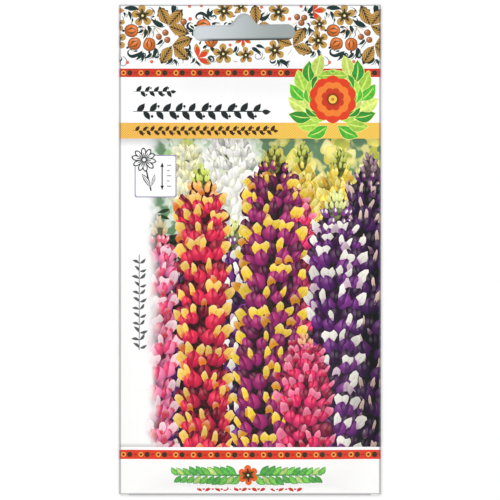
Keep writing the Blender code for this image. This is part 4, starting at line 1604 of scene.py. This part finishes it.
starts = np.cumsum([0] + [len(around) for around in rims])
rim_faces = [list(range(a, b)) for a, b in zip(starts, starts[1:])]
rim_faces[1:] = [face[::-1] for face in rim_faces[1:]]
folds = straight_lines(rim_flat, 0, [plate_x(u) for u in fold_columns])
folds += straight_lines(rim_flat, 1, [plate_y(v) for v in fold_rows + tongue_rows])
inner_points = [tuple(p) for p in rim_flat] + grid(CELL_PLAIN, 2 * CELL_PLAIN)
inner_flat, inner, behind, inner_owners = triangulate(inner_points, folds, rim_faces)
inner = inner[[i for i, own in enumerate(inner_owners) if on_paper(own)]]
inner_of_rim = {}
for number, sources in enumerate(behind):
    for source in sources:
        if source < len(rim_points):
            inner_of_rim[rim_points[source]] = number
print("points round the plain side's rims:", [len(around) for around in rim_loops(inner)])


# %% The folded sheet
def lifted(points, side):
    """Folded places and normals of one side of the paper: side 1 is printed, -1 plain."""
    u, v = (points[:, 0] - HALF_WIDTH) * MM, points[:, 1] * MM + TOP
    normals = facing(u, v) * side
    return folded(u, v) + normals * (PAPER / 2), normals


outer_places, outer_normals = lifted(flat, 1)
inner_places, inner_normals = lifted(inner_flat, -1)
inner_used, inner = np.unique(inner, return_inverse=True)
inner = inner.reshape(-1, 3)
renumbered = {old: new + len(flat) for new, old in enumerate(inner_used.tolist())}
rim_quads = []
for around in rims:
    for a, b in zip(around, around[1:] + around[:1]):
        rim_quads.append((a, renumbered[inner_of_rim[a]], renumbered[inner_of_rim[b]], b))

places = np.concatenate([outer_places, inner_places[inner_used]])
faces = triangles.tolist() + (inner[:, ::-1] + len(flat)).tolist() + rim_quads
print(f"printed_sheet: {len(triangles)} printed, {len(inner)} plain and {2 * len(rim_quads)} edge triangles")

# %% The sheet's mesh and its normals
sheet_mesh = bpy.data.meshes.new("printed_sheet")
sheet_mesh.from_pydata(places.tolist(), [], faces)
outer_count, inner_count = 3 * len(triangles), 3 * len(inner)
smooth = np.ones(len(faces), bool)
smooth[len(triangles) + len(inner):] = False
sheet_mesh.polygons.foreach_set("use_smooth", smooth)
corner_points = np.zeros(len(sheet_mesh.loops), np.int32)
sheet_mesh.loops.foreach_get("vertex_index", corner_points)
corner_normals = np.concatenate([outer_normals, inner_normals[inner_used]])[corner_points]
corner_normals[outer_count + inner_count:] = 0
sheet_mesh.normals_split_custom_set(corner_normals.tolist())
sheet = bpy.data.objects.new("printed_sheet", sheet_mesh)
bpy.context.scene.collection.objects.link(sheet)
print(f"{len(sheet_mesh.vertices)} points and {len(sheet_mesh.loops)} face corners")

# %% [markdown]
# ## Inks and places for the shader
#
# Each corner of a printed triangle carries its patch's ink, its place in the patch and the patch's code.
# Two maps go with them: one gives the place on the plate in millimetres, and the other spreads the sheet
# over a square, with most of the room for the front.

# %% What each corner carries
records = []
for outline, ink, petal, code, chance in plate:
    centre, middle = outline.mean(0), petal.mean(0)
    turn = np.linalg.lstsq(outline - centre, petal - middle, rcond=None)[0]
    records.append((centre, turn, middle, ink, code, chance))
# Bare paper takes the last record
records.append((np.zeros(2), np.zeros((2, 2)), np.zeros(2), (1.0, 1.0, 1.0), PLAIN, 0.5))
centres, turns, middles, inks, codes, chances = map(np.array, zip(*records))

count = len(sheet_mesh.loops)
owner = np.full(count, BARE)
owner[:outer_count] = np.repeat(top_patch, 3)
all_flat = np.concatenate([flat, inner_flat[inner_used]])
plate_places = all_flat[corner_points]
offsets = plate_places - centres[owner]
petal = np.einsum("ij,ijk->ik", offsets, turns[owner]) + middles[owner]
corner_ink = np.concatenate([inks[owner], np.ones((count, 1))], axis=1)
corner_petal = np.concatenate([petal, chances[owner][:, None]], axis=1)
give(sheet_mesh, "ink", "FLOAT_COLOR", "CORNER", corner_ink)
give(sheet_mesh, "petal", "FLOAT_VECTOR", "CORNER", corner_petal)
give(sheet_mesh, "kind", "FLOAT", "CORNER", codes[owner].astype(float))
print(f"{count} corners, {int(np.sum(owner[:outer_count] == BARE))} of them on bare paper")

# %% The two maps
sheet_mesh.uv_layers.new(name="plate").data.foreach_set("uv", plate_places.ravel())

# A part of the sheet goes from its own box on the plate to its box on the square
plate_foot = plate_y(TONGUE_END)
front_reach = HALF_WIDTH - plate_x(-FLAT_HALF - ARC)
back_reach = plate_x(BACK_EDGE) - HALF_WIDTH
BOXES = {
    "front": ((-front_reach, front_reach), (0.004, 0.746, 0.004, 0.996)),
    "right": ((front_reach, back_reach), (0.754, 0.872, 0.264, 0.996)),
    "left": ((-back_reach, -front_reach), (0.878, 0.996, 0.264, 0.996)),
    "plain": ((-back_reach, back_reach), (0.754, 0.996, 0.004, 0.244)),
    "edge": ((-back_reach, back_reach), (0.754, 0.996, 0.25, 0.258)),
}
face_middles = np.repeat(plate_places[:outer_count].reshape(-1, 3, 2).mean(1), 3, axis=0)[:, 0] - HALF_WIDTH
part = np.full(count, "front")
part[:outer_count][face_middles > front_reach] = "right"
part[:outer_count][face_middles < -front_reach] = "left"
part[outer_count:outer_count + inner_count] = "plain"
part[outer_count + inner_count:] = "edge"
square = np.zeros((count, 2))
for name, ((x0, x1), (s0, s1, t0, t1)) in BOXES.items():
    own = part == name
    square[own, 0] = s0 + (plate_places[own, 0] - HALF_WIDTH - x0) / (x1 - x0) * (s1 - s0)
    square[own, 1] = t1 + plate_places[own, 1] / -plate_foot * (t1 - t0)
sheet_mesh.uv_layers.new(name="OFBake").data.foreach_set("uv", square.ravel())
sheet_mesh.update()
print("corners by part:", {name: int(np.sum(part == name)) for name in BOXES})

# %% [markdown]
# ## The printed paper
#
# A printed picture has soft petals, veins and gleams, and flat patches have none. An image could carry
# them, but it would blur close up. So the shader draws them: it reads the place on the plate, x across and y
# up in millimetres, the place in the patch, p across and q along from -1 to 1, and the patch's code.

# %% What the shader reads
shader_node = partial(Wire.node, print_tree)


def corner_value(name, output):
    """What the face corners carry under that name."""
    return shader_node("ShaderNodeAttribute", {"attribute_name": name}, output=output)


def parts_of(wire):
    """The three parts of a vector or a colour."""
    return [shader_node("ShaderNodeSeparateXYZ", None, {0: wire}, axis) for axis in "XYZ"]


def noise(scale, detail=2.0, roughness=0.5):
    """Unevenness over the plate, with that many lumps to a millimetre."""
    return shader_node("ShaderNodeTexNoise", {"noise_dimensions": "2D"},
                       {"Vector": on_plate, "Scale": scale, "Detail": detail, "Roughness": roughness}, "Fac")


on_plate = shader_node("ShaderNodeUVMap", {"uv_map": "plate"})
x, y, _ = parts_of(on_plate)
p, q, chance = parts_of(corner_value("petal", "Vector"))
code = corner_value("kind", "Fac")
flat_ink = corner_value("ink", "Color")
blots = noise(0.9)
clouds = noise(0.12)
grain = noise(4.0)
print(len(print_tree.nodes), "nodes to read what the paper carries")

# %% [markdown]
# How light an ink is depends on the patch's code and on the place in the patch. A wing bulges and gleams, a
# banner is folded down its middle, a leaf has veins. Each has a sum, and its code lets only that sum through.

# %% How light each ink is
bulge = 1 - (p * p + q * q)
tall = (q + 1) * 0.5
gleam = (p + 0.15).near(0, 0.7) * (q - 0.3).near(0, 0.6)
rib = (tall + abs(p) * 0.35) * 6.5
veins = rib.fraction().step(0.55, 0.35) * abs(p).step(0.9, 0.45) * tall.step(0.05, 0.2)
SHADES = {
    WING: 0.5 + bulge.step(-0.6, 0.8) * 0.46 + q * 0.2 - p * 0.08 + gleam * 0.42,
    BANNER: 0.80 + tall * 0.22 - p.near(0.05, 0.22) * q.step(0.75, 0.2) * 0.2 - p.step(0.1, 1.0) * 0.14,
    BUD: 0.66 + bulge.step(-0.6, 0.8) * 0.36 + q * 0.14,
    GROUND: 0.35 + blots.step(0.3, 0.75) * 1.3,
    FAR_PETAL: 0.9 + clouds * 0.2,
    LEAFLET: 0.55 + blots * 0.7 + p.near(0, 0.25) * 0.35,
    FOLK_PETAL: 0.3 + q.step(-0.75, 0.4) * 0.7 + abs(p).step(0.5, 0.95) * 0.08,
    FOLK_LEAF: 1.06 - p.near(0, 0.28) * 0.68 - veins * 0.66,
    BERRY: 0.58 + ((p + 0.3) * (p + 0.3) + (q - 0.3) * (q - 0.3)).step(1.6, 0.1) * 0.52,
    HATCH: 1.0,
}
light = 1
for number, shade in SHADES.items():
    light = light + code.is_code(number) * (shade - 1)
in_picture = code.step(WING - 0.6, WING - 0.4) * code.step(LEAFLET + 0.6, LEAFLET + 0.4)
light = light * (1 + in_picture * ((chance - 0.5) * 0.3 + (clouds - 0.5) * 0.35 + (grain - 0.5) * 0.12))
colour = flat_ink.scaled(light)
print(len(print_tree.nodes), "nodes with the shades of", len(SHADES), "codes")

# %% [markdown]
# The shaded side of a red or purple wing is cooler, a gleam is nearly white, and the orange band has fine
# slanting stripes.

# %% Cool shades, gleams and stripes
shaded_side = code.is_code(WING) * light.step(1.0, 0.5) * parts_of(flat_ink)[1].step(0.7, 0.4)
colour = mixed(shaded_side, colour, (0.74, 0.66, 1.0), "MULTIPLY")
pale = code.is_code(WING) * gleam * 0.07 + code.is_code(BUD) * gleam * 0.25
pale = pale + code.is_code(BANNER) * q.step(0.2, 1.1) * 0.3
pale = pale + code.is_code(BERRY) * (p + 0.35).near(0, 0.4) * (q - 0.35).near(0, 0.4) * 0.5
stripes = (x - y) * 1.3
hatch = stripes.fraction().step(0.3, 0.6)
colour = mixed(pale, colour, (1.0, 0.96, 0.9))
band = mixed(x.step(8, 70), linear(234, 158, 56), linear(240, 186, 62))
band = mixed(hatch * 0.8, band, linear(252, 218, 112))
colour = mixed(code.is_code(HATCH), colour, band)
print(len(print_tree.nodes), "nodes with the gleams and stripes")

# %% [markdown]
# Some shades lie over the whole picture: pale blurs among the far blossoms, a fade to white on its left, a
# soft shadow below the orange band, and a darker foot.

# %% Over the whole picture
BAND_SHADOW_FOOT = 43.8
FADE_TO_WHITE = (12.8, 8.2)
blurred = noise(0.3, 1).step(0.46, 0.66) * code.is_code(FAR_PETAL)
far_white = mixed(x.step(38, 48), linear(240, 246, 232), linear(252, 240, 150))
colour = mixed(blurred * 0.72, colour, far_white)
fade = (x + (clouds - 0.5) * 5).step(*FADE_TO_WHITE) * in_picture
colour = mixed(fade, colour, (1, 1, 1))
below_band = y.step(-BAND_SHADOW_FOOT, -PICTURE_TOP) * y.step(-PICTURE_TOP + 0.01, -PICTURE_TOP) * in_picture
foot_shade = y.near(-PICTURE_FOOT, 1.5) * in_picture * x.step(13, 9) * 0.34
right_foot = x.step(64, 74) * y.step(-90, -112) * in_picture
shade = 1 - below_band * 0.3 - foot_shade - right_foot * 0.3
colour = colour.scaled(shade)
print(len(print_tree.nodes), "nodes with the picture's own shades")

# %% [markdown]
# Painted shade greys the paper where it bows at the seal: a wide patch along the header's foot and a small
# one near the top edge. Along the side folds the ink is rubbed off here and there, and all edges show a thin
# painted line of shade.

# %% Painted seal shade, rubbed folds and painted edge shade
WIDE_LEFT, WIDE_DOWN = 2, 22
SMALL_X, SMALL_DOWN = 56, 4
EDGE_SHADE_DARK = (0.1, 0.1, 0.11)
# Painted shade where the paper bows at the header's seal
painted_seal_shade = abs(y + WIDE_DOWN).step(9, 2) * abs(x - HALF_WIDTH + WIDE_LEFT).step(30, 12) * 0.11
painted_seal_shade = painted_seal_shade + abs(x - SMALL_X).step(13, 4) * abs(y + SMALL_DOWN).step(6, 1) * 0.1
colour = mixed(painted_seal_shade, colour, (0.35, 0.36, 0.44), "MULTIPLY")
worn = abs(abs(x - HALF_WIDTH) - HALF_WIDTH).step(0.35, 0.1) * noise(0.8, 4).step(0.52, 0.68)
colour = mixed(worn * 0.5, colour, (1, 1, 1))
# A thin painted line of shade along the side folds, the top cut edge and the foot
from_fold = abs(abs(abs(x - HALF_WIDTH) - HALF_WIDTH) - 0.1).step(0.6, 0.2)
from_cut = abs(y).step(0.5, 0.2)
from_foot = abs(y + HEIGHT / MM - 0.1).step(0.75, 0.3)
painted_edge_shade = 1 - (1 - from_fold) * (1 - from_cut) * (1 - from_foot)
colour = mixed(painted_edge_shade * 0.6, colour, EDGE_SHADE_DARK)
print(len(print_tree.nodes), "nodes with the folds and edges")

# %% [markdown]
# Under the ink is coated paper: not quite white, a little uneven, and with a soft sheen that its fibres
# break up. Where the ink is rubbed off the sheen is weaker.

# %% The coated paper
PAPER_WHITE = 0.95
fibres = 1 - (noise(1.7, 5, 0.7) - 0.5) * 0.03
colour = mixed(1.0, colour, (PAPER_WHITE, PAPER_WHITE, PAPER_WHITE * 0.995), "MULTIPLY")
colour.scaled(fibres).into(print_shader, "Base Color")
(0.36 + noise(0.35, 3) * 0.1 + worn * 0.2).into(print_shader, "Roughness")
fibre_height = noise(2.6, 4, 0.6)
bump = shader_node("ShaderNodeBump", None,
                   {"Strength": 0.05, "Distance": 0.0001, "Height": fibre_height}, "Normal")
bump.into(print_shader, "Normal")
print_shader.inputs["Specular IOR Level"].default_value = 0.2
print(len(print_tree.nodes), "nodes in the printed paper")

# %% The sheet in the packet's place
sheet_mesh.materials.append(print_white)
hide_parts("packet_sheet")
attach(sheet, "root")
print(sheet.name, "stands for packet_sheet")

# %% [markdown]
# ## The seeds
#
# The seeds lie inside, out of sight in a closed packet. Each keeps its own form and has a smooth brown coat
# with darker speckles and a few pale marbled patches.

# %% The seeds' coat
seed_coat, seed_tree, seed_shader = new_material("seed coat")


def seed_noise(scale, detail, low_end, high_end):
    """Speckles: 0 where the noise is under the low end, 1 where it is over the high end."""
    place = Wire.node(seed_tree, "ShaderNodeTexCoord", output="Object")
    sockets = {"Vector": place, "Scale": scale, "Detail": detail}
    return Wire.node(seed_tree, "ShaderNodeTexNoise", None, sockets, "Fac").step(low_end, high_end)


coat = mixed(seed_noise(700, 3, 0.42, 0.62), linear(112, 82, 56), linear(66, 44, 30))
coat = mixed(seed_noise(1800, 2, 0.56, 0.66) * 0.8, coat, linear(34, 24, 18))
coat = mixed(seed_noise(420, 2, 0.6, 0.72) * 0.7, coat, linear(176, 150, 116))
coat.into(seed_shader, "Base Color")
(0.3 + seed_noise(900, 2, 0.3, 0.8) * 0.25).into(seed_shader, "Roughness")
seeds = [item for item in bpy.data.objects if item.type == "MESH" and item.name.startswith("seed")]
for seed in seeds:
    seed.data.materials.clear()
    seed.data.materials.append(seed_coat)
print(len(seeds), "seeds wear the coat")
